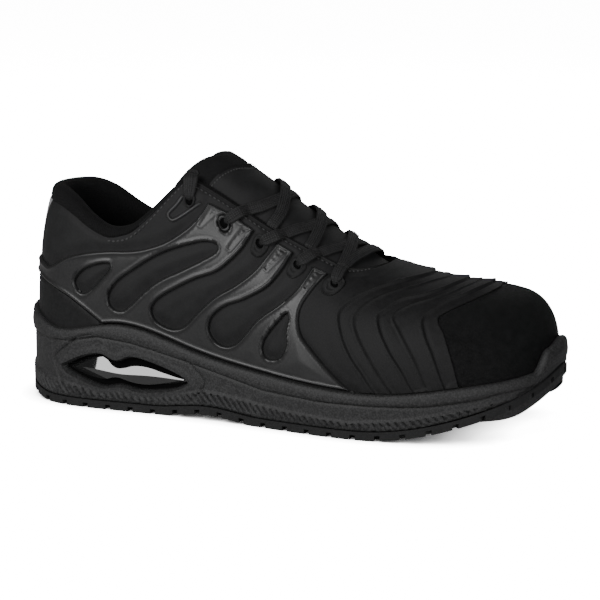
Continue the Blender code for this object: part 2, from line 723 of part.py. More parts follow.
def make_insole(columns, material):
    points, rings = [], []
    clear = RIM_WALL + WALL + INSOLE_CLEAR
    for lift, more in ((GAP, 0.0), (INSOLE_THICK, INSOLE_THICK / 4)):
        ring = []
        for u in columns:
            x, y = sole_edge(u, clear + more)
            ring.append(len(points))
            points.append((float(x), float(y), float(base_height(u)) + lift))
        rings.append(ring)
    faces = []
    for a, b in zip(rings[:-1], rings[1:]):
        faces += [(a[i], a[(i + 1) % len(a)], b[(i + 1) % len(a)], b[i]) for i in range(len(a))]
    ladder(faces, rings[0])
    ladder(faces, rings[-1])
    return add_object("insole", points, faces, material)


# Upper

def wall_depth(u, x, down):
    # the padding fades down from the collar and forward along the facing
    collar = 1 - smooth((x - 0.27 * LENGTH) / (0.10 * LENGTH))
    return WALL + (PAD - WALL) * collar * (1 - smooth(down / PAD_DEPTH))


def make_upper(columns, material):
    count = len(columns)
    half = count // 2
    tops = [open_around(u) for u in columns]
    end = throat_end()
    closed = [abs(u - 1) < (1 - end) - 1e-6 for u in columns]
    at_end = [abs(abs(u - 1) - (1 - end)) < 1e-6 for u in columns]
    tops = [1.0 if c or e else min(q, 0.9999) for q, c, e in zip(tops, closed, at_end)]
    shares = np.linspace(0.0, 1.0, WALL_ROWS + 1)
    outer = np.array([[section(u, q * top) for q in shares] for u, top in zip(columns, tops)])
    normals = np.array([
        [last(u, min(q * top, 0.999), 1.0) - section(u, min(q * top, 0.999)) for q in shares]
        for u, top in zip(columns, tops)
    ])
    normals[:, 0, 2] = 0.0
    normals /= np.linalg.norm(normals, axis=-1, keepdims=True)
    # the ridge is shared by both sides, so its normals are too
    for i in range(half + 1):
        if closed[i] or at_end[i]:
            j = (count - i) % count
            both = normals[i, -1] + normals[j, -1]
            if columns[i] > 0.97:
                both = np.array([0.25, 0.0, 1.0])
            normals[i, -1] = normals[j, -1] = both / np.linalg.norm(both)
    points, index = [], {}

    def vertex(i, row, lift, kind):
        i = i % count
        if row == WALL_ROWS and (closed[i] or at_end[i]):
            i = min(i, (count - i) % count)
        key = (i, row, kind)
        if key not in index:
            index[key] = len(points)
            points.append(outer[i, row] + normals[i, row] * lift)
        return index[key]

    def depth(i, row):
        i = i % count
        down = np.linalg.norm(outer[i, -1] - outer[i, row]) if not closed[i] else 1.0
        return float(wall_depth(columns[i], outer[i, row, 0], down))

    inner_rows = np.round(np.linspace(0, WALL_ROWS, INNER_ROWS + 1)).astype(int)
    faces = []
    for i in range(count):
        j = i + 1
        for a, b in zip(range(WALL_ROWS), range(1, WALL_ROWS + 1)):
            ring = [vertex(i, a, 0, "out"), vertex(j, a, 0, "out"), vertex(j, b, 0, "out")]
            faces.append(ring + [vertex(i, b, 0, "out")])
        for a, b in zip(inner_rows[:-1], inner_rows[1:]):
            faces.append([
                vertex(i, a, -depth(i, a), "in"), vertex(i, b, -depth(i, b), "in"),
                vertex(j, b, -depth(j, b), "in"), vertex(j, a, -depth(j, a), "in"),
            ])
        faces.append([
            vertex(i, 0, 0, "out"), vertex(i, 0, -depth(i, 0), "in"),
            vertex(j, 0, -depth(j, 0), "in"), vertex(j, 0, 0, "out"),
        ])
        if not (closed[i % count] or closed[j % count]):
            rolls = []
            for k in (i % count, j % count):
                rolls.append(edge_roll(k, outer, normals, depth, at_end, points, index, count))
            left, right = rolls
            for k, roll in ((i, left), (j, right)):
                roll.insert(0, vertex(k, WALL_ROWS, 0, "out"))
                roll.append(vertex(k, WALL_ROWS, -depth(k, WALL_ROWS), "in"))
            for n in range(len(left) - 1):
                faces.append([left[n], right[n], right[n + 1], left[n + 1]])
    faces = [list(dict.fromkeys(face)) for face in faces]
    faces = [face for face in faces if len(face) > 2]
    return add_object("upper", points, faces, material)


def edge_roll(i, outer, normals, depth, at_end, points, index, count):
    # the rounded edge of the collar and throat: a half circle from the outer to the inner face
    if at_end[i]:
        i = min(i, (count - i) % count)
    out = []
    thick = depth(i, WALL_ROWS)
    up = outer[i, -1] - outer[i, -2]
    up /= np.linalg.norm(up)
    centre = outer[i, -1] - normals[i, -1] * thick / 2
    round_by = 0.0 if at_end[i] else thick / 2
    for n, angle in enumerate((45, 90, 135)):
        key = (i, n, "roll")
        if key not in index:
            a = math.radians(angle)
            index[key] = len(points)
            points.append(centre + normals[i, -1] * math.cos(a) * thick / 2 + up * math.sin(a) * round_by)
        out.append(index[key])
    return out


def sheet_lines(points, spacing):
    # an outline with corners: smooth stretches between the points marked as corners
    flat = [((a * SIDE_LENGTH, q * SECTION_LENGTH), mark) for a, q, mark in points]
    starts = [i for i, (_, mark) in enumerate(flat) if mark == "corner"]
    out = []
    for n, start in enumerate(starts):
        stop = starts[n + 1] if n + 1 < len(starts) else len(flat) - 1
        piece = curve_through([p for p, _ in flat[start:stop + 1]], False, spacing)
        out += list(piece[:-1] if n + 1 < len(starts) else piece)
    return np.array(out)


def flat_ring(points):
    return curve_through([(a * SIDE_LENGTH, q * SECTION_LENGTH) for a, q in points], True, OUTLINE_STEP)


def circle(centre, radius, count):
    angle = np.arange(count) * 2 * np.pi / count
    return np.array(centre) + radius * np.column_stack([np.cos(angle), np.sin(angle)])


def eyelet_spot(side, k):
    # a set way from the throat's edge, on the outer (-1) or inner (1) side
    u = EYELETS[k]
    edge = open_around(u if side < 0 else 2 - u)
    return np.array([u * SIDE_LENGTH, edge * SECTION_LENGTH - EYELET_MARGIN])


def around_grid(columns, low, high, rows):
    # fill points that follow the upper's own grid
    return np.array([
        (u * SIDE_LENGTH, q * SECTION_LENGTH)
        for u in columns if 0 <= u <= 1 for q in np.linspace(low, high, rows)
    ])


def make_cage(side, columns, material):
    edge = list(sheet_lines(CAGE_EDGE, OUTLINE_STEP))
    steps = np.linspace(CAGE_SPAN[1], CAGE_SPAN[0], 18)
    edge += [np.array([u * SIDE_LENGTH, rim_around(u, RIM_CLEAR) * SECTION_LENGTH]) for u in steps]
    heel = [(a * SIDE_LENGTH, q * SECTION_LENGTH) for a, q in CAGE_HEEL]
    edge = np.array(edge + list(curve_through(heel, False, OUTLINE_STEP)))
    holes = [flat_ring(DROP_REAR), flat_ring(DROP_LONG), flat_ring(DROP_FRONT)]
    holes.append(circle(eyelet_spot(side, 1), EYELET_OUTER + GAP * 2, 10))
    lines = [(edge, True)] + [(hole, True) for hole in holes]
    fill = clear_of(around_grid(columns, 0.06, 0.6, 10), lines, FILL_CLEAR)
    points, triangles = divide_plane(lines, fill[inside(fill, edge)])
    centres = np.array([points[list(t)].mean(axis=0) for t in triangles])
    levels = inside(centres, edge).astype(int)
    for hole in holes:
        levels[inside(centres, hole)] = 0

    def place(flat, level):
        u, q = flat[:, 0] / SIDE_LENGTH, flat[:, 1] / SECTION_LENGTH
        return last(u if side < 0 else 2 - u, q, np.where(level == 0, SEAT, SEAT + OVERLAY))

    name = "cage_outer" if side < 0 else "cage_inner"
    return stepped_solid(name, points, triangles, levels, place, material)


def make_counter(material):
    # the panel low on the heel, from one side round to the other
    low = CAGE_SPAN[0] - 0.004
    seam = [(a - 0.003, q - 0.006) for a, q in CAGE_HEEL[:-1]] + [(0.0, 0.150)]
    top = [(-a, q) for a, q in seam[:-1]] + [(a, q) for a, q in reversed(seam)]
    top = curve_through([(a * SIDE_LENGTH, q * SECTION_LENGTH) for a, q in top], False, PANEL_STEP)
    steps = np.linspace(low, -low, 20)
    base = np.array([(u * SIDE_LENGTH, rim_around(u % 2.0, RIM_CLEAR) * SECTION_LENGTH) for u in steps])
    edge = np.vstack([top, base])
    lines = [(edge, True)]
    grid = np.array([
        (u * SIDE_LENGTH, q * SECTION_LENGTH)
        for u in np.linspace(-low, low, 18) for q in (0.08, 0.12)
    ])
    fill = clear_of(grid[inside(grid, edge)], lines, COUNTER_FILL_CLEAR)
    points, triangles = divide_plane(lines, fill)
    centres = np.array([points[list(t)].mean(axis=0) for t in triangles])
    levels = inside(centres, edge).astype(int)

    def place(flat, level):
        u, q = flat[:, 0] / SIDE_LENGTH, flat[:, 1] / SECTION_LENGTH
        return last(u % 2.0, q, np.where(level == 0, SEAT, SEAT + COUNTER))

    return stepped_solid("heel_counter", points, triangles, levels, place, material)


def make_strip(material):
    # a thin strip up the back of the heel, between the two cages
    top = open_around(0.0) * SECTION_LENGTH
    rows = curve_through([(a * SIDE_LENGTH, share * top) for a, share in HEEL_STRIP], False, PANEL_STEP)
    between = np.array([[0.5, 1], [0.0, 1], [-0.5, 1]])
    mirrored = rows[::-1] * np.array([-1, 1])
    edge = np.vstack([rows, rows[-1] * between, mirrored, rows[0] * between[::-1]])
    fill = np.vstack([row * between for row in rows[1:-1]])
    points, triangles = divide_plane([(edge, True)], fill)
    levels = np.ones(len(triangles), int)

    def place(flat, level):
        u, q = flat[:, 0] / SIDE_LENGTH, flat[:, 1] / SECTION_LENGTH
        return last(u % 2.0, q, np.where(level == 0, SEAT, SEAT + STRIP_THICK))

    return stepped_solid("heel_strip", points, triangles, levels, place, material)


def make_plates(material):
    # three vamp plates that lap like shingles, highest at the cage and lowest toward the toe
    def across(points):
        start = points[0][0]
        points = [(start, rim_around(start, RIM_CLEAR))] + points[1:]
        outer = [(a * SIDE_LENGTH, -(1 - q) * SECTION_LENGTH) for a, q in points]
        return curve_through(outer + [(x, -y) for x, y in reversed(outer[:-1])], False, PLATE_EDGE_STEP)

    back = across(PLATE_BACK)
    edges = [across(PLATE_REAR), across(PLATE_MIDDLE), across(PLATE_FRONT)]
    front = edges[2]

    def base_line(low, high, side):
        steps = np.linspace(low, high, 7)[1:-1]
        return [
            np.array([u * SIDE_LENGTH, side * (1 - rim_around(u, RIM_CLEAR)) * SECTION_LENGTH]) for u in steps
        ]

    outer_base = base_line(PLATE_BACK[0][0], PLATE_FRONT[0][0], -1)
    inner_base = base_line(PLATE_FRONT[0][0], PLATE_BACK[0][0], 1)
    edge = np.vstack([back[::-1], outer_base, front, inner_base])
    lines = [(edge, True), (edges[0], False), (edges[1], False)]
    grid = np.array([
        (u * SIDE_LENGTH, t * SECTION_LENGTH)
        for u in np.arange(0.56, 0.90, 0.030) for t in np.linspace(-0.9, 0.9, 13)
    ])
    fill = clear_of(grid[inside(grid, edge)], lines, FILL_CLEAR)
    points, triangles = divide_plane(lines, fill)
    centres = np.array([points[list(t)].mean(axis=0) for t in triangles])
    levels = np.where(inside(centres, edge), 1, 0)
    for step, line in ((2, edges[1]), (3, edges[0])):
        rear = 0.3 * SIDE_LENGTH
        behind = np.vstack([line, [(rear, SECTION_LENGTH), (rear, -SECTION_LENGTH)]])
        levels[inside(centres, behind) & (levels > 0)] = step

    def place(flat, level):
        u, t = flat[:, 0] / SIDE_LENGTH, flat[:, 1] / SECTION_LENGTH
        return sheet_point(u, t, SEAT + PLATE_STEP * level)

    return stepped_solid("vamp_plates", points, triangles, levels, place, material)


def make_eyelet(side, k, material):
    spot = eyelet_spot(side, k)
    outer, inner = circle(spot, EYELET_OUTER, 9), circle(spot, EYELET_INNER, 9)
    points, triangles = divide_plane([(outer, True), (inner, True)], [])
    centres = np.array([points[list(t)].mean(axis=0) for t in triangles])
    levels = (inside(centres, outer) & ~inside(centres, inner)).astype(int)

    def place(flat, level):
        u, q = flat[:, 0] / SIDE_LENGTH, flat[:, 1] / SECTION_LENGTH
        return last(u if side < 0 else 2 - u, q, np.where(level == 0, SEAT, SEAT + EYELET_HEIGHT))

    name = "eyelet_%s_%d" % ("outer" if side < 0 else "inner", k + 1)
    return stepped_solid(name, points, triangles, levels, place, material)


def make_tongue(material):
    # a padded sheet under the throat, from inside the vamp up past the top eyelets
    along = np.linspace(*TONGUE_SPAN, 19)
    across = np.linspace(-1.0, 1.0, 9)
    rows = []
    for a in along:
        down = a - TONGUE_SPAN[0]
        full = math.sqrt(float(smooth(0.5 + down / TONGUE_TAPER)))
        half = TONGUE_HALF * (TONGUE_TIP + (1 - TONGUE_TIP) * full)
        deep = TONGUE_DROP + TONGUE_TIP_DROP * (1 - float(smooth(down / TONGUE_TIP_SPAN)))
        deep += TONGUE_TOE_DROP * float(smooth((a - TONGUE_TOE_SPAN[0]) / TONGUE_TOE_SPAN[1]))
        rows.append([(a, s * half, deep) for s in across])
    points, faces = [], []
    for lower in (0, 1):
        for row in rows:
            for a, t, deep in row:
                points.append(sheet_point(a, t, -(deep + lower * TONGUE_THICK)))
    wide, deep_rows = len(across), len(along)
    offset = wide * deep_rows
    for r in range(deep_rows - 1):
        for c in range(wide - 1):
            a = r * wide + c
            faces.append((a, a + 1, a + wide + 1, a + wide))
            faces.append((a + offset, a + wide + offset, a + wide + 1 + offset, a + 1 + offset))
    rim = list(range(wide)) + [r * wide + wide - 1 for r in range(1, deep_rows)]
    rim += [(deep_rows - 1) * wide + c for c in range(wide - 2, -1, -1)]
    rim += [r * wide for r in range(deep_rows - 2, 0, -1)]
    for a, b in zip(rim, rim[1:] + rim[:1]):
        faces.append((a, a + offset, b + offset, b))
    return add_object("tongue", points, faces, material)


def ribbon(start, end):
    # a lace laid flat between two places, with points along both sides
    start, end = np.array(start), np.array(end)
    along = end - start
    length = np.linalg.norm(along)
    side = np.array([-along[1], along[0]]) / length * LACE_WIDTH / 2
    steps = np.linspace(0, 1, max(2, int(round(length / LACE_POINT_STEP)) + 1))
    left = [start + along * s + side for s in steps]
    right = [start + along * s - side for s in reversed(steps)]
    return np.array(left + right)


def lace_spot(side, k):
    # an eyelet's place on the sheet that runs over the ridge
    x, y = eyelet_spot(side, k)
    return np.array([x, side * (SECTION_LENGTH - y)])


def lace_solid(name, rings, heights, material):
    # flat laces over the overlays and the tongue; a ring with height 2 passes over one with height 1
    points, triangles = divide_plane([(ring, True) for ring in rings], [])
    centres = np.array([points[list(t)].mean(axis=0) for t in triangles])
    levels = np.zeros(len(centres), int)
    for ring, height in zip(rings, heights):
        covered = inside(centres, ring)
        levels[covered] = np.maximum(levels[covered], height)
    floor = SEAT + max(OVERLAY, EYELET_HEIGHT) + 2 * GAP

    def place(flat, level):
        u, t = flat[:, 0] / SIDE_LENGTH, flat[:, 1] / SECTION_LENGTH
        return sheet_point(u, t, floor + LACE_THICK * 0.75 * level)

    return stepped_solid(name, points, triangles, levels, place, material)


def make_laces(material):
    # a bar across the lowest pair and crossings above it; from the top pair each end runs to the throat
    lowest = len(EYELETS) - 1
    rings, heights = [ribbon(lace_spot(-1, lowest), lace_spot(1, lowest))], [1]
    for k in range(UPPER_CROSSING, lowest):
        rings.append(ribbon(lace_spot(1, k + 1), lace_spot(-1, k)))
        rings.append(ribbon(lace_spot(-1, k + 1), lace_spot(1, k)))
        heights += [1, 2]
    laces = [lace_solid("laces", rings, heights, material)]
    for side, name in ((-1, "lace_end_outer"), (1, "lace_end_inner")):
        start = lace_spot(side, 0)
        laces.append(lace_solid(name, [ribbon(start, start - (0.0, side * LACE_END))], [1], material))
    return laces


def centre_on_floor(pieces):
    # the origin is the middle of the shoe's box, on the floor
    low, high = np.full(3, np.inf), np.full(3, -np.inf)
    for piece in pieces:
        corners = np.array([v.co for v in piece.data.vertices])
        low, high = np.minimum(low, corners.min(axis=0)), np.maximum(high, corners.max(axis=0))
    shift = Vector((-(low[0] + high[0]) / 2, -(low[1] + high[1]) / 2, 0.0))
    return shift


def main():
    for piece in list(bpy.data.objects):
        bpy.data.objects.remove(piece, do_unlink=True)
    rubber = paint("black_rubber", (0.030, 0.030, 0.031), 0.70)
    foam = paint("black_foam", (0.040, 0.040, 0.042), 0.62)
    gloss = paint("black_gloss", (0.010, 0.010, 0.011), 0.12)
    fabric = paint("black_microfibre", (0.022, 0.022, 0.023), 0.80)
    cage = paint("black_cage", (0.050, 0.050, 0.052), 0.42)
    knit = paint("black_knit", (0.020, 0.020, 0.021), 0.90)
    lace = paint("black_lace", (0.018, 0.018, 0.019), 0.85)
    tape = paint("grey_tape", (0.30, 0.30, 0.31), 0.45)

    columns = loft_columns()
    midsole = make_midsole(columns, foam)
    cutters = [cut_window(midsole, side, foam) for side in (-1, 1)]
    pieces = [midsole, make_outsole(rubber), make_insole(columns, knit), make_upper(columns, fabric)]
    pieces += [make_insert(side, gloss) for side in (-1, 1)]
    pieces += [make_cage(side, columns, cage) for side in (-1, 1)]
    pieces += [make_counter(fabric), make_strip(tape), make_plates(fabric), make_tongue(knit)]
    pieces += [make_eyelet(side, k, cage) for side in (-1, 1) for k in range(len(EYELETS))]
    pieces += make_laces(lace)
    shift = centre_on_floor(pieces)
    for piece in pieces + cutters:
        piece.location = shift


main()
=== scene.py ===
import math

import bpy
import numpy as np
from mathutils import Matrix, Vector
from mathutils.geometry import delaunay_2d_cdt
from mathutils.kdtree import KDTree


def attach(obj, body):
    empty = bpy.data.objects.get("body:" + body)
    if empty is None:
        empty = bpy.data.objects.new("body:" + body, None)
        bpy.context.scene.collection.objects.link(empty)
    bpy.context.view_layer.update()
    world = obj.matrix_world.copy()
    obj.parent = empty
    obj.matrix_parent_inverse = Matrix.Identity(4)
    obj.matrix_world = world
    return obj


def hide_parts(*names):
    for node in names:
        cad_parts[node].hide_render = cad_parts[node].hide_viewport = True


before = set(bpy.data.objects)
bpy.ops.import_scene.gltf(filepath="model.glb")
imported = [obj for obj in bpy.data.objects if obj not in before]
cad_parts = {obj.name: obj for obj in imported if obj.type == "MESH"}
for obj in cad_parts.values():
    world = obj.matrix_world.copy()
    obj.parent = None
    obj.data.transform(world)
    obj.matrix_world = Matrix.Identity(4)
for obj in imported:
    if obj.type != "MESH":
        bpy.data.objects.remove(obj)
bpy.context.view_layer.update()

# Form of the last: the same sizes as the CAD, with the heel at x = 0 until the shift
form = {
    "length": 0.300, "half": 0.054, "sole": 0.050, "ankle": 0.150, "collar": 0.1125, "wall": 0.0040,
    "pocket": 0.0090, "floor": 0.0050, "blend": 0.0008, "outsole": 0.0045, "section": 0.115,
    "heelRise": (0.0062, 0.027), "archRise": (0.0028, 0.085, 0.067), "toeRise": (0.0255, 0.205, 0.095),
    "tipRise": (0.0065, 0.030),
    "throat": (0.0850, 0.2070, 0.0220, 0.0225, 0.0252, 0.80), "bumper": (0.0140, 0.070, 0.030, 0.72),
    "shift": (-0.15, 0.0011291, 0.0),
}
stations = [
    (0.000, 0.000, 0.00, 1.000, 0.170, 0.00, 1.000, 2.35, 2.35),
    (0.022, -0.390, 0.38, 0.950, 0.175, 0.00, 1.000, 2.40, 2.40),
    (0.090, -0.675, 0.64, 0.830, 0.190, 0.00, 1.000, 2.50, 2.50),
    (0.210, -0.755, 0.69, 0.930, 0.260, 0.00, 0.993, 2.40, 2.40),
    (0.360, -0.785, 0.63, 0.734, 0.370, 0.00, 0.940, 2.20, 2.30),
    (0.500, -0.875, 0.70, 0.574, 0.500, 0.02, 0.780, 2.00, 2.10),
    (0.640, -1.000, 0.88, 0.494, 0.640, 0.04, 0.607, 2.00, 2.05),
    (0.760, -0.985, 0.97, 0.500, 0.750, 0.05, 0.527, 2.15, 2.15),
    (0.870, -0.815, 0.88, 0.590, 0.830, 0.06, 0.507, 2.30, 2.30),
    (0.950, -0.500, 0.62, 0.660, 0.875, 0.06, 0.503, 2.40, 2.40),
    (0.988, -0.185, 0.34, 0.720, 0.893, 0.06, 0.500, 2.45, 2.45),
    (1.000, 0.080, 0.08, 0.740, 0.900, 0.06, 0.500, 2.45, 2.45),
]
topLine = [
    (0.000, 1.000), (0.060, 1.010), (0.100, 0.995), (0.137, 0.925), (0.173, 0.853), (0.213, 0.822),
    (0.257, 0.889), (0.287, 0.987), (0.320, 1.085), (0.347, 1.156), (0.400, 1.320), (1.000, 3.200),
]
softLine = (-0.008, -0.006, -0.003, 0.000, 0.003, 0.006, 0.008)  # the top line is averaged over these shifts
sides = {"outer": -1, "inner": 1}


def closedCurve(knots, values):
    # closed smooth curve through the values, over a period of 2
    knots, values = np.asarray(knots, float), np.asarray(values, float)
    count = len(knots)
    step = np.diff(np.append(knots, knots[0] + 2.0))
    rise = (np.roll(values, -1) - values) / step
    matrix, right = np.zeros((count, count)), np.zeros(count)
    for i in range(count):
        matrix[i, i - 1] += step[i]
        matrix[i, i] += 2 * (step[i - 1] + step[i])
        matrix[i, (i + 1) % count] += step[i - 1]
        right[i] = 3 * (step[i] * rise[i - 1] + step[i - 1] * rise[i])
    slope = np.linalg.solve(matrix, right)

    def value(at):
        at = (np.asarray(at, float) - knots[0]) % 2.0 + knots[0]
        i = np.clip(np.searchsorted(knots, at, side="right") - 1, 0, count - 1)
        j = (i + 1) % count
        s = (at - knots[i]) / step[i]
        start = values[i] * (2 * s**3 - 3 * s**2 + 1) + step[i] * slope[i] * (s**3 - 2 * s**2 + s)
        return start + values[j] * (3 * s**2 - 2 * s**3) + step[i] * slope[j] * (s**3 - s**2)

    return value


table = np.array(stations).T * np.array([
    form["length"], form["half"], form["half"], form["sole"], form["length"], form["half"], form["ankle"],
    1, 1])[:, None]
chord = (np.hypot(np.diff(table[0]), np.diff(table[1])) + np.hypot(np.diff(table[0]), np.diff(table[2]))) / 2
sideLength = float(chord.sum())
alongSide = np.concatenate([[0.0], np.cumsum(chord)]) / sideLength
knots = np.concatenate([alongSide, (2 - alongSide[1:-1])[::-1]])


def roundSole(outer, inner):
    return closedCurve(knots, np.concatenate([outer, inner[1:-1][::-1]]))


edgeX, edgeY = roundSole(table[0], table[0]), roundSole(table[1], table[2])
rimHeight, fullness = roundSole(table[3], table[3]), roundSole(table[7], table[8])
ridgeX, ridgeY, ridgeZ = (roundSole(table[i], table[i]) for i in (4, 5, 6))


def smooth(t):
    t = np.clip(t, 0.0, 1.0)
    return t * t * (3 - 2 * t)


def hump(distance, width):
    # 1 on a line, 0 from width on
    return 1 - smooth(np.abs(distance) / width)


def soleEdge(u, inset=0.0):
    step = 1e-4
    dx, dy = edgeX(u + step) - edgeX(u - step), edgeY(u + step) - edgeY(u - step)
    size = np.hypot(dx, dy)
    return edgeX(u) - inset * dy / size, edgeY(u) + inset * dx / size


def treadHeight(x):
    # height of the sole's underside above the floor
    heel, heelRun = form["heelRise"]
    arch, archStart, archRun = form["archRise"]
    toe, toeStart, toeRun = form["toeRise"]
    tip, tipRun = form["tipRise"]
    rise = heel * np.clip(1 - x / heelRun, 0, 1) ** 2
    rise += arch * np.sin(np.pi * np.clip((x - archStart) / archRun, 0, 1)) ** 2
    rise += toe * np.clip((x - toeStart) / toeRun, 0, 1.02) ** 1.9
    return rise + tip * np.clip(1 - (form["length"] - x) / tipRun, 0, 1) ** 4


def baseHeight(u):
    low = rimHeight(u) - form["pocket"]
    least = treadHeight(edgeX(u)) + form["outsole"] + form["floor"]
    return (low + least) / 2 + np.sqrt(((low - least) / 2) ** 2 + form["blend"] ** 2)


def section(u, q):
    c, s = np.maximum(np.cos(q * np.pi / 2), 1e-9), np.maximum(np.sin(q * np.pi / 2), 0.0)
    k = fullness(u)
    r = (c**k + s**k) ** (-1 / k)
    baseX, baseY = soleEdge(u, form["wall"])
    baseZ = baseHeight(u)
    return np.stack([ridgeX(u) + (baseX - ridgeX(u)) * r * c, ridgeY(u) + (baseY - ridgeY(u)) * r * c,
                     baseZ + (ridgeZ(u) - baseZ) * r * s], -1)


def lastNormal(u, q):
    step = 1e-4
    along = section(u + step, q) - section(u - step, q)
    up = section(u, np.minimum(q + step, 1.0)) - section(u, np.maximum(q - step, 0.0))
    return unit(np.cross(along, up))


def last(u, q, lift=0.0):
    u, q = np.broadcast_arrays(np.asarray(u, float), np.asarray(q, float))
    return section(u, q) + lastNormal(u, q) * np.asarray(lift)[..., None]


def firstAbove(u, test):
    # smallest q on each column where test turns positive, or 1
    u = np.atleast_1d(np.asarray(u, float))
    q = np.linspace(0.0, 1.0, 321)
    places = np.repeat(u[:, None], len(q), 1)
    value = test(section(places, np.broadcast_to(q, places.shape)), places)
    out = np.ones(len(u))
    for n, row in enumerate(value):
        above = np.nonzero(row > 0)[0]
        if len(above):
            i = above[0]
            out[n] = 0.0 if i == 0 else q[i - 1] + (q[i] - q[i - 1]) * row[i - 1] / (row[i - 1] - row[i])
    return out


def bumper(u):
    # steep at its ends, then slowly on to the middle of the toe
    rise, span, ramp, share = form["bumper"]
    toeward = np.abs((np.asarray(u) % 2.0) - 1.0)
    steep, slow = smooth((span - toeward) / ramp), smooth(1 - toeward / (span - ramp))
    return rise * (share * steep + (1 - share) * slow)


def rimAround(u, above=0.0):
    return firstAbove(u, lambda p, w: p[..., 2] - rimHeight(w) - bumper(w) - above)


def openAround(u):
    back, end, roundEnd, rear, front, inner = form["throat"]
    tops = np.array(topLine)

    def outside(p, w):
        x = p[..., 0]
        taper = np.clip((x - (end - roundEnd)) / roundEnd, 0.0, 1.0)
        half = np.interp(x, [back, (back + end) / 2], [rear, front]) * np.sqrt(np.maximum(1 - taper**2, 0))
        half = (half - np.where(x > end, 1.0, 0.0)) * np.where(w % 2.0 <= 1.0, 1.0, inner)
        throat = half - np.abs(p[..., 1] - ridgeY(w))
        highs = [np.interp(x + shift, tops[:, 0] * form["length"], tops[:, 1] * form["collar"])
                 for shift in softLine]
        collar = p[..., 2] - sum(highs) / len(softLine)
        return np.maximum(collar, np.where(x > back, throat, -1.0))

    return firstAbove(u, outside)


def sideWay(name, share):
    # the way round the sole, 0 to 2 from the heel, of a share of one side's length
    return share if name == "outer" else 2 - share


def sidePlace(name):
    # flat places on one side: x along the sole, y up from the feather line
    def place(flat, lift):
        return last(sideWay(name, flat[:, 0] / sideLength), np.clip(flat[:, 1] / form["section"], 0.0, 1.0),
                    lift)
    return place


def overPlace(flat, lift):
    # flat places over the ridge: y runs from the outer feather line through 0 on the ridge to the inner
    u, t = flat[:, 0] / sideLength, np.clip(flat[:, 1] / form["section"], -1.0, 1.0)
    return last(np.where(t <= 0, u, 2 - u), 1 - np.abs(t), lift)


def heelPlace(flat, lift):
    return last((flat[:, 0] / sideLength) % 2.0, np.clip(flat[:, 1] / form["section"], 0.0, 1.0), lift)


# Outlines

def flatten(points):
    # flat places in metres from thousandths of the side's length and of the section
    return np.array([(a / 1000 * sideLength, q / 1000 * form["section"]) for a, q in points])


def wallPoints(points):
    # places on the sole's unrolled wall from thousandths of the side's length and heights in mm
    return np.array([(a / 1000 * sideLength, z / 1000) for a, z in points])


def closing(ring):
    return np.vstack([ring, ring[:1]])


def circle(centre, radius, count):
    turn = np.linspace(0, 2 * np.pi, count, endpoint=False)
    return centre + radius * np.column_stack([np.cos(turn), np.sin(turn)])


def curveThrough(points, closed=False, spacing=0.0006):
    points = np.asarray(points, float)
    count = len(points)
    out = []
    for i in range(count if closed else count - 1):
        p1, p2 = points[i], points[(i + 1) % count]
        p0 = points[i - 1] if closed or i > 0 else p1
        p3 = points[(i + 2) % count] if closed or i + 2 < count else p2
        length = np.linalg.norm(p2 - p1)
        m1 = (p2 - p0) / (length + np.linalg.norm(p1 - p0)) * length
        m2 = (p3 - p1) / (length + np.linalg.norm(p3 - p2)) * length
        steps = max(1, round(length / spacing))
        s = np.arange(steps)[:, None] / steps
        near = p1 * (2 * s**3 - 3 * s**2 + 1) + m1 * (s**3 - 2 * s**2 + s)
        out.append(near + p2 * (3 * s**2 - 2 * s**3) + m2 * (s**3 - s**2))
    if not closed:
        out.append(points[-1:])
    return np.vstack(out)


def withCorners(points, spacing=0.0006):
    # an outline whose points marked with a third value are corners; the first is one
    corners = [i for i, p in enumerate(points) if len(p) > 2] + [len(points) - 1]
    flat = flatten([p[:2] for p in points])
    parts = [curveThrough(flat[a:b + 1], False, spacing)[:-1] for a, b in zip(corners, corners[1:])]
    return np.vstack(parts + [flat[-1:]])


def unit(vectors):
    least = 1e-30  # only keeps a length of nothing from dividing
    return vectors / np.maximum(np.linalg.norm(vectors, axis=-1, keepdims=True), least)


def lengths(line):
    # the way along a line at each of its points
    return np.concatenate([[0.0], np.cumsum(np.linalg.norm(np.diff(line, axis=0), axis=1))])


def evenly(line, spacing, closed=False):
    line = closing(line) if closed else np.asarray(line)
    away = lengths(line)
    at = np.linspace(0, away[-1], max(2, int(round(away[-1] / spacing)) + 1))
    out = np.column_stack([np.interp(at, away, line[:, i]) for i in range(line.shape[1])])
    return out[:-1] if closed else out


def offset(line, distance, closed=False):
    step = (np.roll(line, -1, 0) - np.roll(line, 1, 0)) if closed else np.gradient(line, axis=0)
    step = unit(step)
    return line + np.column_stack([-step[:, 1], step[:, 0]]) * distance


def inside(points, ring):
    points, ring = np.atleast_2d(points), np.asarray(ring)
    result = np.zeros(len(points), bool)
    low, high = ring.min(0), ring.max(0)
    near = np.nonzero(np.all((points >= low) & (points <= high), axis=1))[0]
    x, y = points[near, 0], points[near, 1]
    part = np.zeros(len(near), bool)
    for a, b in zip(ring, np.roll(ring, -1, axis=0)):
        if a[1] != b[1]:
            part ^= ((a[1] > y) != (b[1] > y)) & (x < a[0] + (y - a[1]) * (b[0] - a[0]) / (b[1] - a[1]))
    result[near] = part
    return result


def treeOf(points):
    tree = KDTree(len(points))
    for i, p in enumerate(points):
        tree.insert((p[0], p[1], 0.0), i)
    tree.balance()
    return tree


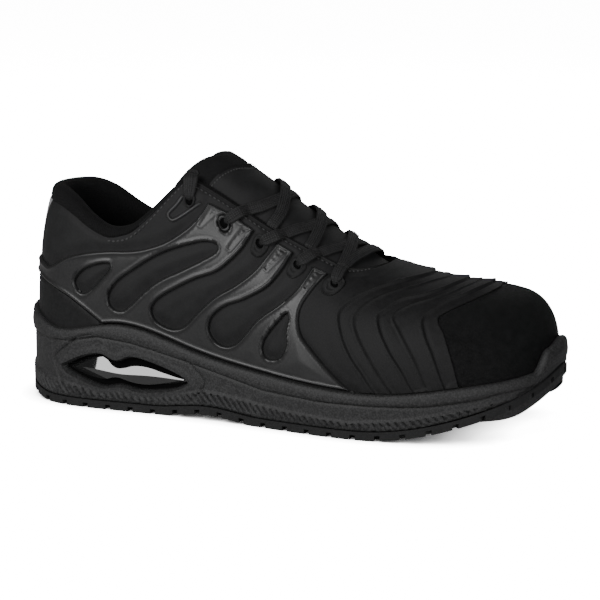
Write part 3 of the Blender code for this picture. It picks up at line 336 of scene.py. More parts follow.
def nearest(points, lines):
    # distance to the closest of the lines, and which side of it
    starts = np.vstack(lines)
    tangents = unit(np.vstack([np.gradient(line, axis=0) for line in lines]))
    tree = treeOf(starts)
    index = np.array([tree.find((p[0], p[1], 0.0))[1] for p in points])
    away = points - starts[index]
    cross = tangents[index, 0] * away[:, 1] - tangents[index, 1] * away[:, 0]
    tang = np.abs((tangents[index] * away).sum(1))
    beside = 0.0008  # past a line's end the distance is to its end point
    return np.where(tang < beside, np.abs(cross), np.linalg.norm(away, axis=1)), np.sign(cross)


def matched(flat, wanted):
    # the index of the drawn point at each wanted place
    tree = treeOf(flat)
    return [tree.find((p[0], p[1], 0.0))[1] for p in wanted]


# Meshes

def seat(piece, replaces=()):
    # ride on the shoe's one body, in the place of the CAD's nodes
    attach(piece, "root")
    if replaces:
        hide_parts(*replaces)


def addMesh(name, points, faces, materials, slots=None, uv=None, sharp=50, replaces=(), slot=None):
    mesh = bpy.data.meshes.new(name)
    points = np.asarray(points, float) + np.array(form["shift"])
    mesh.from_pydata(points.tolist(), [], [tuple(int(i) for i in f) for f in faces])
    for material in (materials if isinstance(materials, (list, tuple)) else [materials]):
        mesh.materials.append(material)
    if slots is not None:
        mesh.polygons.foreach_set("material_index", np.asarray(slots, np.int32))
    if uv is not None:
        corners = np.zeros(len(mesh.loops), np.int32)
        mesh.loops.foreach_get("vertex_index", corners)
        layer = mesh.uv_layers.new(name="UVMap")
        layer.data.foreach_set("uv", (np.asarray(uv, np.float32)[corners] / 0.01).ravel())
    mesh.shade_smooth()
    if sharp:
        mesh.set_sharp_from_angle(angle=math.radians(sharp))
    mesh.validate()
    piece = bpy.data.objects.new(name, mesh)
    bpy.context.collection.objects.link(piece)
    seat(piece, replaces)
    return piece


def hexFill(low, high, spacing):
    rows = np.arange(low[1], high[1], spacing * 0.87)
    out = []
    for n, y in enumerate(rows):
        x = np.arange(low[0] + (spacing / 2 if n % 2 else 0.0), high[0], spacing)
        out.append(np.column_stack([x, np.full(len(x), y)]))
    return np.vstack(out)


def divide(edge, holes, marks, spacing):
    # triangles inside edge, outside the holes, with rows of points on the marks
    rows = [edge] + list(holes) + list(marks)
    drawn = np.vstack(rows)
    fill = hexFill(edge.min(0), edge.max(0), spacing)
    fill = fill[inside(fill, edge)]
    tree = treeOf(drawn)
    fill = fill[np.array([tree.find((p[0], p[1], 0.0))[2] for p in fill]) > spacing * 0.62]
    points, edges = [], []
    for n, row in enumerate(rows):
        start = len(points)
        points += [Vector(p) for p in row]
        edges += [(start + i, start + i + 1) for i in range(len(row) - 1)]
        if n < 1 + len(holes):
            edges.append((start + len(row) - 1, start))
    points += [Vector(p) for p in fill]
    result = delaunay_2d_cdt(points, edges, [], 0, 1e-7)
    flat = np.array([tuple(p) for p in result[0]])
    triangles = np.array([tuple(f) for f in result[2]])
    centres = flat[triangles].mean(axis=1)
    keep = inside(centres, edge)
    for hole in holes:
        keep &= ~inside(centres, hole)
    triangles = triangles[keep]
    a, b, c = flat[triangles[:, 0]], flat[triangles[:, 1]], flat[triangles[:, 2]]
    area = (b[:, 0] - a[:, 0]) * (c[:, 1] - a[:, 1]) - (b[:, 1] - a[:, 1]) * (c[:, 0] - a[:, 0])
    triangles[area < 0] = triangles[area < 0][:, ::-1]
    used = np.unique(triangles)
    index = np.full(len(flat), -1)
    index[used] = np.arange(len(used))
    return flat[used], index[triangles]


def skin(name, edge, holes, marks, spacing, height, place, material, back, flip=False, **more):
    # a sheet with relief, whose walls run down to the lift back
    flat, triangles = divide(edge, holes, marks, spacing)
    lift = height(flat)
    directed = dict.fromkeys((t[i], t[(i + 1) % 3]) for t in triangles for i in range(3))
    border = [(a, b) for a, b in directed if (b, a) not in directed]
    ends = sorted({i for pair in border for i in pair})
    under = {v: len(flat) + n for n, v in enumerate(ends)}
    low = np.full(len(ends), back) if np.isscalar(back) else back(flat[ends])
    points = np.vstack([place(flat, lift), place(flat[ends], low)])
    walls = [(b, a, under[a], under[b]) for a, b in border]
    faces = [tuple(t) for t in triangles] + walls
    if flip:
        faces = [f[::-1] for f in faces]
    uv = np.vstack([flat, flat[ends]])
    return addMesh(name, points, faces, material, uv=uv, **more)


def loft(rings, closedRings=True, closedColumns=False):
    # quads between rings of equal size
    rings = np.asarray(rings)
    rows, count = rings.shape[:2]
    a = np.arange(rows * count).reshape(rows, count)
    b, c = np.roll(a, -1, 1), np.roll(a, -1, 0)
    d = np.roll(b, -1, 0)
    high = rows if closedColumns else rows - 1
    wide = count if closedRings else count - 1
    return rings.reshape(-1, 3), np.stack([a, b, d, c], -1)[:high, :wide].reshape(-1, 4)


print("form done")


# Materials

def shaderGroup(name, inputs, outputs, build):
    group = bpy.data.node_groups.new(name, "ShaderNodeTree")
    for label, kind, value in inputs:
        socket = group.interface.new_socket(label, in_out="INPUT", socket_type=kind)
        if value is not None:
            socket.default_value = value
    for label, kind in outputs:
        group.interface.new_socket(label, in_out="OUTPUT", socket_type=kind)
    nodes, links = group.nodes, group.links
    build(nodes, links, nodes.new("NodeGroupInput").outputs, nodes.new("NodeGroupOutput").inputs)
    return group


def node(nodes, kind, links=None, values=None, joined=None, **fields):
    made = nodes.new(kind)
    for key, value in fields.items():
        setattr(made, key, value)
    for key, value in (values or {}).items():
        made.inputs[key].default_value = value
    for key, source in (joined or {}).items():
        links.new(source, made.inputs[key])
    return made


def buildGrain(nodes, links, given, out):
    # fine fibres and larger, softer mottling
    place = node(nodes, "ShaderNodeTexCoord").outputs["Object"]
    fine, wide = (node(nodes, "ShaderNodeTexNoise", links, {"Detail": detail, "Roughness": rough},
                       {"Vector": place, "Scale": given[label]}).outputs["Fac"]
                  for label, detail, rough in (("Fine", 4.0, 0.7), ("Wide", 3.0, 0.6)))
    mixed = node(nodes, "ShaderNodeMix", links, {}, {"A": fine, "B": wide, "Factor": given["Mottle"]})
    links.new(fine, out["Height"])
    links.new(mixed.outputs["Result"], out["Mask"])


def maths(nodes, links, operation, *given):
    # a math node fed by numbers and by the outputs of other nodes
    made = nodes.new("ShaderNodeMath")
    made.operation = operation
    for i, value in enumerate(given):
        if isinstance(value, float):
            made.inputs[i].default_value = value
        else:
            links.new(value, made.inputs[i])
    return made.outputs[0]


def turnedMap(nodes, links, given):
    # the way across and along the UV map, turned by an angle and counted in threads
    uv = node(nodes, "ShaderNodeUVMap").outputs["UV"]
    turned = node(nodes, "ShaderNodeVectorRotate", links, {}, {"Vector": uv, "Angle": given["Angle"]},
                  rotation_type="Z_AXIS")
    parts = node(nodes, "ShaderNodeSeparateXYZ", links, {}, {"Vector": turned.outputs["Vector"]}).outputs
    return [maths(nodes, links, "MULTIPLY", parts[axis], given[count])
            for axis, count in (("X", "Across"), ("Y", "Along"))]


def buildWeave(nodes, links, given, out):
    # two crossing sets of threads
    waves = [maths(nodes, links, "SINE", way) for way in turnedMap(nodes, links, given)]
    product = maths(nodes, links, "MULTIPLY", *waves)
    links.new(maths(nodes, links, "MULTIPLY_ADD", product, 0.5, 0.5), out["Height"])


def buildRib(nodes, links, given, out):
    # rows of knitted stitches: rounded columns, each broken into short slanted loops
    across, along = turnedMap(nodes, links, given)
    column = maths(nodes, links, "ABSOLUTE", maths(nodes, links, "SINE", across))
    slanted = maths(nodes, links, "SINE", maths(nodes, links, "MULTIPLY_ADD", column, 1.6, along))
    broken = maths(nodes, links, "MULTIPLY_ADD", slanted, 0.25, 0.6)
    links.new(maths(nodes, links, "MULTIPLY", column, broken), out["Height"])


number = "NodeSocketFloat"
grain = shaderGroup("Grain", [("Fine", number, 900.0), ("Wide", number, 60.0), ("Mottle", number, 0.5)],
                    [("Height", number), ("Mask", number)], buildGrain)
weave = shaderGroup("Weave", [("Angle", number, 0.785), ("Across", number, 60.0), ("Along", number, 60.0)],
                    [("Height", number)], buildWeave)
ribKnit = shaderGroup("RibKnit", [("Angle", number, 0.0), ("Across", number, 30.0), ("Along", number, 60.0)],
                      [("Height", number)], buildRib)


def patterned(nodes, group, values):
    made = node(nodes, "ShaderNodeGroup", node_tree=group)
    for socket, value in zip(made.inputs, values):
        socket.default_value = value
    return made


def surface(name, look):
    # tones: dark grey and its blue, light grey and its blue; grain: fine and wide scale, share of the wide
    # one; pattern: a group with its angle and its threads across and along, and how deep it is
    material = bpy.data.materials.new(name)
    material.use_nodes = True
    nodes, links = material.node_tree.nodes, material.node_tree.links
    shader = nodes["Principled BSDF"]
    for key in ("Metallic", "Specular IOR Level", "Coat Weight", "Coat Roughness", "Sheen Weight",
                "Sheen Roughness"):
        if key in look:
            shader.inputs[key].default_value = look[key]
    fibres = patterned(nodes, grain, look["grain"])
    ramp = node(nodes, "ShaderNodeValToRGB", links, {}, {"Fac": fibres.outputs["Mask"]})
    stops = ramp.color_ramp.elements
    stops[0].position, stops[1].position = look.get("ends", (0.35, 0.65))
    dark, darkBlue, light, lightBlue = look["tones"]
    stops[0].color, stops[1].color = (dark, dark, darkBlue, 1), (light, light, lightBlue, 1)
    links.new(ramp.outputs["Color"], shader.inputs["Base Color"])
    low, high = look["rough"]
    rough = node(nodes, "ShaderNodeMapRange", links,
                 {"From Min": 0.3, "From Max": 0.7, "To Min": low, "To Max": high},
                 {"Value": fibres.outputs["Mask"]})
    links.new(rough.outputs["Result"], shader.inputs["Roughness"])
    bump = node(nodes, "ShaderNodeBump", links, {"Strength": 1.0, "Distance": look["bump"]},
                {"Height": fibres.outputs["Height"]})
    if "pattern" in look:
        group, values, depth = look["pattern"]
        threads = patterned(nodes, group, values)
        under = node(nodes, "ShaderNodeBump", links, {"Strength": 1.0, "Distance": depth},
                     {"Height": threads.outputs["Height"]})
        links.new(under.outputs["Normal"], bump.inputs["Normal"])
        # shade: the pattern's low parts are painted darker, a painted shade between the threads
        if "shade" in look:
            least, full = look["shade"]
            shade = node(nodes, "ShaderNodeMapRange", links,
                         {"From Min": 0.0, "From Max": full, "To Min": least, "To Max": 1.0},
                         {"Value": threads.outputs["Height"]})
            dim = node(nodes, "ShaderNodeMix", links, {"Factor": 1.0}, {}, data_type="RGBA",
                       blend_type="MULTIPLY")
            links.new(ramp.outputs["Color"], dim.inputs[6])
            links.new(shade.outputs["Result"], dim.inputs[7])
            links.new(dim.outputs[2], shader.inputs["Base Color"])
    links.new(bump.outputs["Normal"], shader.inputs["Normal"])
    return material


nubuck = surface("nubuck", {
    "tones": (0.0045, 0.0047, 0.0100, 0.0103), "rough": (0.56, 0.68), "bump": 0.00008,
    "Sheen Weight": 0.01, "Sheen Roughness": 0.5, "Specular IOR Level": 0.16, "grain": (1400.0, 260.0, 0.45)})
smoothFibre = surface("smoothFibre", {
    "tones": (0.0070, 0.0072, 0.0135, 0.0139), "rough": (0.58, 0.72), "bump": 0.00005,
    "Sheen Weight": 0.01, "Specular IOR Level": 0.16, "grain": (1800.0, 120.0, 0.5)})
cageFilm = surface("cageFilm", {
    "tones": (0.0085, 0.0088, 0.0118, 0.0121), "rough": (0.36, 0.44), "bump": 0.000012,
    "Specular IOR Level": 0.36, "grain": (1600.0, 90.0, 0.6)})
foamSkin = surface("foamSkin", {
    "tones": (0.0085, 0.0088, 0.0330, 0.0337), "ends": (0.42, 0.64), "Specular IOR Level": 0.30,
    "rough": (0.55, 0.68), "bump": 0.00013, "grain": (1100.0, 200.0, 0.10)})
rubberSkin = surface("rubberSkin", {
    "tones": (0.0080, 0.0083, 0.0220, 0.0226), "ends": (0.45, 0.75), "Specular IOR Level": 0.22,
    "rough": (0.55, 0.68), "bump": 0.00005, "grain": (1500.0, 200.0, 0.2)})
glossSkin = surface("glossSkin", {
    "tones": (0.0030, 0.0031, 0.0045, 0.0047), "rough": (0.05, 0.09), "bump": 0.000002,
    "Coat Weight": 1.0, "Coat Roughness": 0.03, "grain": (500.0, 60.0, 0.5)})
collarKnit = surface("collarKnit", {
    "tones": (0.0060, 0.0062, 0.0100, 0.0103), "rough": (0.80, 0.92), "bump": 0.00004,
    "Sheen Weight": 0.01, "Specular IOR Level": 0.08, "grain": (1600.0, 200.0, 0.4),
    "pattern": (ribKnit, (0.0, 30.0, 62.0), 0.00022), "shade": (0.55, 0.7)})
tongueMesh = surface("tongueMesh", {
    "tones": (0.0060, 0.0062, 0.0105, 0.0108), "rough": (0.76, 0.90), "bump": 0.00003,
    "Sheen Weight": 0.01, "Specular IOR Level": 0.10, "grain": (1500.0, 200.0, 0.4),
    "pattern": (weave, (0.785, 62.0, 62.0), 0.00012), "shade": (0.7, 0.9)})
toeWeave = surface("toeWeave", {
    "tones": (0.0036, 0.0037, 0.0135, 0.0139), "rough": (0.44, 0.54), "bump": 0.00003,
    "Specular IOR Level": 0.10, "grain": (1500.0, 240.0, 0.4),
    "pattern": (weave, (0.62, 78.0, 78.0), 0.00022), "shade": (0.30, 0.9)})
laceWeave = surface("laceWeave", {
    "tones": (0.0080, 0.0082, 0.0200, 0.0206), "rough": (0.55, 0.70), "bump": 0.00004,
    "Sheen Weight": 0.01, "Specular IOR Level": 0.22, "grain": (1700.0, 300.0, 0.4),
    "pattern": (ribKnit, (1.5708, 30.0, 52.0), 0.00030), "shade": (0.45, 0.7)})
tapeGrey = surface("tapeGrey", {
    "tones": (0.30, 0.31, 0.42, 0.43), "rough": (0.30, 0.42), "bump": 0.00002, "Metallic": 0.3,
    "grain": (1500.0, 200.0, 0.5), "pattern": (weave, (0.785, 40.0, 40.0), 0.00006)})
thread = surface("thread", {
    "tones": (0.0220, 0.0225, 0.0420, 0.0430), "Specular IOR Level": 0.3, "rough": (0.60, 0.75),
    "bump": 0.00004, "grain": (2500.0, 300.0, 0.3)})
# painted shade: near-black and dull, for the window recesses and the eyelet holes, where there is only shade
paintedShade = surface("paintedShade", {
    "tones": (0.0015, 0.0016, 0.0025, 0.0026), "Specular IOR Level": 0.05, "rough": (0.85, 0.95),
    "bump": 0.00002, "grain": (1200.0, 200.0, 0.5)})
print("materials done")

# Sole

soleLines = {  # places in thousandths of the side's length, heights in mm
    "rimLow": [(0, 37.5), (60, 37), (130, 35.5), (165, 36.2), (206, 40), (270, 37.8), (370, 30.5),
               (443, 24.5), (496, 20.4), (600, 18.5), (727, 19.2), (763, 20), (837, 23.5),
               (895, 28.5), (935, 32.2), (1000, 34.5)],
    "ribTop": [(0, 21.5), (40, 18.5), (70, 17), (100, 15.8), (140, 13.3), (173, 12.3), (200, 11),
               (222, 10.1), (250, 11.3), (285, 9.9), (320, 11), (341, 12.1), (366, 13.8), (384, 15.2),
               (400, 16), (456, 14.2), (496, 12.4), (538, 11.2), (612, 9.8), (646, 9.4), (700, 11.2),
               (728, 12.4), (782, 16), (837, 20), (895, 24),
               (940, 27.5), (1000, 30.5)],
    "window": [(148, 20.5), (163, 24), (190, 28), (218, 29.6), (243, 26.5), (270, 29.4),
               (313, 26.6), (356, 21.5), (366, 18.5), (340, 14.2), (285, 11.8), (250, 13.5),
               (222, 12), (185, 15)],
    "frame": [(205, 40.2), (181, 38.2), (150, 31.2), (130, 25.2), (134, 20), (143, 13.5), (156, 8.5)],
    "frameFront": [(366, 30.8), (384, 25.2), (396, 19.6), (384, 13), (370, 8.5)],
    "inset": 0.0010, "deep": 0.0046, "rib": 0.00390, "ribDeep": 0.00125, "lean": 0.95,
    "foot": 0.0050, "lip": 0.0020, "bandLeast": 0.0035, "ribMarks": (-0.28, -0.10, 0.0, 0.10, 0.28),
    "lipMarks": (-0.0016, -0.0008, 0.0, 0.0008, 0.0018, 0.0030), "columns": 800,
    "toe": (0.262, 0.025), "under": ((0.0050, -0.0002, 0.0), (0.0062, 0.0055, 0.0050)),
}


def lineHeight(name, u):
    rows = np.array(soleLines[name]) / 1000
    return np.interp(1 - np.abs((u % 2.0) - 1), rows[:, 0], rows[:, 1])


def wallFoot(u):
    return treadHeight(edgeX(u)) + soleLines["foot"]


def wallTop(u):
    return rimHeight(u) + bumper(u) - soleLines["lip"]


def bandLines(u):
    # heights of the wall's foot, the top of its ribs, the rim's lower edge and the wall's top
    foot, top, least = wallFoot(u), wallTop(u), soleLines["bandLeast"]
    low = np.minimum(lineHeight("rimLow", u), top - least) + 0.45 * bumper(u)
    return foot, np.clip(lineHeight("ribTop", u), foot + least, low - least), low, top


def ribPlace(flat, foot):
    # how many ribs along the wall a place is; they lean the same way on both sides
    along = flat[:, 0] - sideLength
    return (along + soleLines["lean"] * (flat[:, 1] - foot) * -np.sign(along)) / soleLines["rib"]


def midsoleInset(flat):
    u, z = flat[:, 0] / sideLength, flat[:, 1]
    foot, ribs, low, top = bandLines(u)
    inset = soleLines["inset"] * (1 - smooth((z - low + 0.0004) / 0.0009))
    inset *= smooth((z - ribs + 0.0006) / 0.0012)
    inset += 0.0005 * hump(z - low + 0.0008, 0.0009) + 0.0004 * hump(z - ribs, 0.0008)
    inset *= 1 - 0.8 * smooth((0.075 - np.abs(u % 2.0 - 1)) / 0.03)
    inset += 0.0007 * hump(z - foot, 0.0012)
    # the rim's band swells a little
    inset -= 0.0005 * hump(z - (low + top) / 2, 0.0040) * (z > low)
    # slanted ribs along the foot
    along = ribPlace(flat, foot)
    inBand = smooth((ribs - 0.0008 - z) / 0.0005) * smooth((z - foot - 0.0009) / 0.0005)
    return inset + soleLines["ribDeep"] * hump(np.abs(along - np.round(along)), 0.28) * inBand


def ribMarks(way, foot, ribs):
    # lines along the slanted ribs, for the mesh to follow
    reach, marks = int(sideLength / soleLines["rib"]) - 1, []
    for n in range(-reach, reach + 1):
        for shift in soleLines["ribMarks"]:
            start = sideLength + (n + shift) * soleLines["rib"]
            low, high = (float(np.interp(start / sideLength, way, v)) for v in (foot, ribs))
            z = np.linspace(low + 0.0011, high - 0.0012, max(3, int((high - low) / 0.0009)))
            x = start + soleLines["lean"] * (z - low) * np.sign(n + shift + 1e-6)
            keep = z <= np.interp(x / sideLength, way, ribs) - 0.0012
            keep &= (x > 0.001) & (x < 2 * sideLength - 0.001)
            if keep.sum() > 2:
                marks.append(np.column_stack([x, z])[keep])
    return marks


def windowLines(name):
    # the window and both parts of its frame, on the unrolled wall
    lines = []
    for line in ("window", "frame", "frameFront"):
        points = curveThrough(wallPoints(soleLines[line]), line == "window", 0.0006)
        if name == "inner":
            points = np.column_stack([2 * sideLength - points[:, 0], points[:, 1]])[::-1]
        lines.append(points)
    return lines


def sinkWindow(flat, triangles, inset, ring):
    # a rounded lip round the window, then a steep wall down to the recess, whose faces it returns to be given
    # the painted shade
    near = np.nonzero(np.abs(flat[:, 0] - ring[:, 0].mean()) < 0.06)[0]
    distance = nearest(flat[near], [closing(ring)])[0]
    signed = np.where(inside(flat[near], ring), distance, -distance)
    level = smooth((signed + 0.0048) / 0.0020)
    inset[near] = inset[near] * (1 - level) + 0.0006 * level
    inset[near] += soleLines["deep"] * smooth((signed + 0.0004) / 0.0010)
    depth = np.full(len(flat), -1.0)
    depth[near] = signed
    return depth[triangles].mean(axis=1) > 0.0003


def makeMidsole():
    # the side wall unrolled, from the foot to the rim, then rows over the rim's lip and under the foot
    count, lip = soleLines["columns"], soleLines["lip"]
    u = np.linspace(0, 2, count + 1)
    bottom, top = (np.column_stack([u * sideLength, height(u)]) for height in (wallFoot, wallTop))
    rise = np.linspace(0, 1, 60)[1:-1, None]
    ends = [bottom[i] + (top[i] - bottom[i]) * rise for i in (-1, 0)]
    edge = np.vstack([bottom, ends[0], top[::-1], ends[1][::-1]])
    way = np.linspace(0.0015, 1.9985, 900)
    foot, ribs, low, _ = bandLines(way)
    beside = ((low, (-0.0016, -0.0008, 0.0004)), (ribs, (-0.0009, 0.0, 0.0008)))
    marks = [np.column_stack([way * sideLength, line + shift]) for line, shifts in beside for shift in shifts]
    marks += ribMarks(way, foot, ribs)
    windows = [windowLines(name) for name in sides]
    for ring, *frames in windows:
        marks += [evenly(offset(ring, away, True), 0.0006, True) for away in soleLines["lipMarks"]]
        marks += [evenly(line, 0.0007) for line in frames]
    flat, triangles = divide(edge, [], marks, 0.00085)
    inset, recess = midsoleInset(flat), np.zeros(len(triangles), bool)
    for ring, *frames in windows:
        recess |= sinkWindow(flat, triangles, inset, ring)
        for line in frames:
            near = np.nonzero(np.abs(flat[:, 0] - line[:, 0].mean()) < 0.03)[0]
            inset[near] += 0.0009 * hump(nearest(flat[near], [line])[0], 0.0009)
    points = [np.column_stack([*soleEdge(flat[:, 0] / sideLength, inset), flat[:, 1]])]
    faces = [tuple(t) for t in triangles]

    def addRows(first, rings, under=False):
        # quads from a row of the wall on to more rows on the same columns
        rows = [first]
        for ring in rings:
            start = sum(len(p) for p in points)
            points.append(ring)
            rows.append(range(start, start + count + 1))
        for a, b in zip(rows[:-1], rows[1:]):
            quads = [(a[i], a[i + 1], b[i + 1], b[i]) for i in range(count)]
            faces.extend([(p, s, r, q) for p, q, r, s in quads] if under else quads)

    rings = [np.column_stack([*soleEdge(u, lip * (1 - math.cos(a))), wallTop(u) + lip * math.sin(a)])
             for a in np.radians((18, 36, 54, 72, 90))]
    ledge = np.column_stack([*soleEdge(u, lip), rimHeight(u) + bumper(u)])
    inner = last(u, rimAround(u), -0.0004)
    rings += [ledge + (inner - ledge) * share - np.array([0, 0, drop])
              for share, drop in ((0.55, 0.0002), (1.0, 0.0012))]
    addRows(matched(flat, top), rings)
    start, ramp = soleLines["toe"]
    atToe = smooth((edgeX(u) - start) / ramp)
    rings = [np.column_stack([*soleEdge(u, back * (1 - 0.7 * atToe)), wallFoot(u) - drop - more * atToe])
             for back, drop, more in soleLines["under"]]
    addRows(matched(flat, bottom), rings, True)
    points = np.vstack(points)
    # the recess faces get the painted shade material, the rest the foam
    slots = np.concatenate([recess.astype(int), np.zeros(len(faces) - len(triangles), int)])
    addMesh("midsoleSkin", points, faces, [foamSkin, paintedShade], slots=slots,
            uv=np.vstack([flat, points[len(flat):, :2]]), sharp=60, replaces=["midsole"], slot="foam")


cushion = {  # places in thousandths of the side's length, heights in mm
    "outline": [
        (150, 20.8), (168, 23.6), (192, 26.8), (212, 28), (226, 26.6), (236, 24), (246, 22.8), (258, 23.3),
        (272, 24.6), (285, 24.7), (300, 24), (320, 22.2), (342, 20.3), (362, 18.7), (340, 17), (316, 15.8),
        (296, 15), (280, 15.2), (264, 16.4), (250, 17.7), (238, 17.5),
        (224, 16), (206, 15.9), (186, 17.2), (166, 19)],
    "spine": [(152, 20.8), (200, 21.3), (247, 20.2), (300, 20.2), (359, 18.9)],
    "peak": 0.262, "high": 0.0046, "soft": 0.08, "slopes": (0.40, 0.36), "least": -0.0006, "inset": 0.0050,
}


def makeCushion(name):
    # the glossy insert: two long facets that meet on a sharp spine
    ring = curveThrough(wallPoints(cushion["outline"]), True, 0.0006)
    spine = curveThrough(wallPoints(cushion["spine"]), False, 0.0005)
    rear, peak, front = spine[0, 0], cushion["peak"] * sideLength, spine[-1, 0]

    def height(flat):
        # falls evenly from the peak to both tips and to both sides of the spine
        away, soft = flat[:, 0] - peak, cushion["soft"]
        along = away / np.where(away < 0, peak - rear, front - peak)
        high = cushion["high"] * (1 - (np.hypot(along, soft) - soft) / (math.hypot(1, soft) - soft))
        down = flat[:, 1] - np.interp(flat[:, 0], spine[:, 0], spine[:, 1])
        return np.maximum(high - np.where(down > 0, *cushion["slopes"]) * np.abs(down), cushion["least"])

    def place(flat, lift):
        return np.column_stack([*soleEdge(sideWay(name, flat[:, 0] / sideLength), cushion["inset"] - lift),
                                flat[:, 1]])

    skin("cushion" + name.capitalize(), ring, [], [evenly(spine[2:-2], 0.0007)], 0.00085, height, place,
         glossSkin, -0.0010, flip=name == "inner", sharp=40, replaces=["heel_cushion_" + name], slot="gloss")


def dress(nodeName, pieceName, material, rounding):
    # the CAD's own shape with rounded edges and a map of its plan
    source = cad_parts[nodeName]
    mesh = source.data.copy()
    mesh.materials.clear()
    mesh.materials.append(material)
    places = np.zeros(len(mesh.vertices) * 3, np.float32)
    mesh.vertices.foreach_get("co", places)
    corners = np.zeros(len(mesh.loops), np.int32)
    mesh.loops.foreach_get("vertex_index", corners)
    layer = mesh.uv_layers[0] if mesh.uv_layers else mesh.uv_layers.new(name="UVMap")
    layer.data.foreach_set("uv", (places.reshape(-1, 3)[corners][:, :2] / 0.01).ravel())
    piece = bpy.data.objects.new(pieceName, mesh)
    bpy.context.collection.objects.link(piece)
    piece.matrix_world = source.matrix_world
    edge = piece.modifiers.new("rounding", "BEVEL")
    edge.width, edge.segments, edge.limit_method, edge.angle_limit = rounding, 2, "ANGLE", math.radians(35)
    edge.use_clamp_overlap = True
    seat(piece, [nodeName])


makeMidsole()
for name in sides:
    makeCushion(name)
dress("outsole", "outsoleSkin", rubberSkin, 0.00045)
print("sole done")

# Upper

cage = {  # outlines in thousandths of the side's length and of the section
    "edge": [
        (22, 205, "c"), (85, 210), (107, 212), (145, 250), (173, 264), (217, 271), (258, 277), (288, 296),
        (323, 340), (355, 410), (372, 470), (384, 537, "c"), (420, 548), (460, 550, "c"), (448, 460),
        (432, 390), (408, 320), (372, 262), (338, 205), (311, 155), (302, 122), (306, 98), (320, 86),
        (341, 88), (360, 112), (383, 172), (410, 240), (443, 312), (470, 395), (486, 480), (499, 568, "c"),
        (525, 577, "c"), (512, 465), (492, 365), (457, 278), (424, 222), (404, 172), (400, 132), (409, 108),
        (425, 100), (443, 115), (460, 155), (482, 230), (514, 320), (537, 405), (551, 490), (559, 572, "c"),
        (584, 585, "c"), (564, 450), (552, 360), (551, 305), (558, 255), (577, 215), (606, 160), (638, 100),
        (655, 66),
    ],
    "heel": [(222, 50), (182, 112), (147, 150), (98, 165), (22, 160)],
    "drops": [
        [(168, 188), (180, 215), (200, 230), (229, 235), (231, 222), (217, 190), (200, 160), (187, 150),
         (175, 160)],
        [(408, 404), (390, 400), (357, 358), (312, 295), (268, 222), (242, 180), (230, 145), (230, 118),
         (240, 96),
         (254, 94), (268, 115), (288, 160), (315, 215), (350, 270), (383, 330), (405, 380)],
        [(530, 312), (517, 265), (497, 185), (492, 150), (495, 122), (508, 115), (525, 138), (534, 190),
         (532, 240), (534, 295)],
    ],
    "inlays": [
        [(387, 524), (402, 527), (378, 440), (371, 432)], [(442, 532), (455, 537), (428, 410), (421, 416)],
        [(501, 555), (519, 563), (490, 422), (482, 428)], [(561, 560), (578, 573), (556, 446), (550, 452)],
    ],
    "span": (0.216, 0.652), "lift": 0.0016, "clear": 0.0004, "hole": 0.0034,
    "marks": (0.0004, 0.0008, 0.0012, 0.0016), "rib": 0.0030, "ribHigh": 0.00012,
}
eyelets = {
    "outer": [(352, 507), (413, 497), (472, 512), (535, 532), (598, 550)],
    "inner": [(352, 503), (413, 478), (470, 479), (538, 524), (601, 576)],
}


def cageOutline():
    stop, first = cage["span"]
    u = np.linspace(first, stop, 260)
    base = np.column_stack([u * sideLength, rimAround(u, cage["clear"]) * form["section"]])
    heel = curveThrough(flatten(cage["heel"]), False, 0.0007)
    edge = np.vstack([withCorners(cage["edge"], 0.0006), base, heel])
    keep = np.concatenate([[True], np.linalg.norm(np.diff(edge, axis=0), axis=1) > 0.0002])
    return edge[keep], [curveThrough(flatten(d), True, 0.0006) for d in cage["drops"]]


cageEdge, cageHoles = cageOutline()
cageLines = [closing(ring) for ring in [cageEdge] + cageHoles]


def makeCage(name):
    hole = circle(flatten([eyelets[name][1]])[0], cage["hole"], 40)
    holes, lines = cageHoles + [hole], cageLines + [closing(hole)]
    inlays = [evenly(flatten(ring + ring[:1]), 0.0006) for ring in cage["inlays"]]
    marks = []
    for line, ring in [(cageEdge, 1)] + [(h, -1) for h in holes]:
        for away in cage["marks"]:
            row = evenly(offset(line, -away * ring, True), 0.0005, True)
            keep = inside(row, cageEdge)
            for h in holes:
                keep &= ~inside(row, h)
            row = row[keep & (nearest(row, lines)[0] > away - 0.00015)]
            breaks = np.nonzero(np.linalg.norm(np.diff(row, axis=0), axis=1) > 0.0012)[0] + 1
            marks += [part for part in np.split(row, breaks) if len(part) > 2]
    for ring in inlays:
        marks += [ring] + [offset(ring[:-1], shift, True) for shift in (-0.0007, 0.0007)]

    def height(flat):
        away = nearest(flat, lines)[0]
        lift = cage["lift"] - 0.0005 * (1 - smooth(away / 0.0006))
        lift += 0.00042 * hump(away - 0.0008, 0.0007) - 0.00010 * hump(away - 0.0018, 0.0008)
        lift += 0.0003 * smooth((away - 0.003) / 0.008)  # swells a little between the windows
        for n, ring in enumerate(inlays):
            near = np.nonzero(np.linalg.norm(flat - ring.mean(0), axis=1) < 0.012)[0]
            if not len(near):
                continue
            rim = nearest(flat[near], [ring])[0]
            within = inside(flat[near], ring[:-1])
            top, foot = (ring[0] + ring[len(ring) // 4]) / 2, ring[int(len(ring) * 0.62)]
            axis = (foot - top) / np.linalg.norm(foot - top)
            along = (flat[near] - top) @ axis
            across = (flat[near] - top) @ np.array([-axis[1], axis[0]])
            ribs = cage["ribHigh"] * np.sin((along * 0.8 + np.abs(across) * 0.9) * 2 * np.pi / cage["rib"])
            relief = ribs * smooth((rim - 0.0010) / 0.0004) * within
            if n == 0:
                relief = 0.00030 * hump(rim - 0.0019, 0.0007) * within
            lift[near] += relief + 0.00026 * hump(rim, 0.0007) - 0.00024 * hump(rim - 0.0009, 0.0008) * within
        return lift

    skin("cage" + name.capitalize() + "Film", cageEdge, holes, marks, 0.00080, height, sidePlace(name),
         cageFilm, 0.0001, flip=name == "inner", sharp=65, replaces=["cage_" + name], slot="cage")


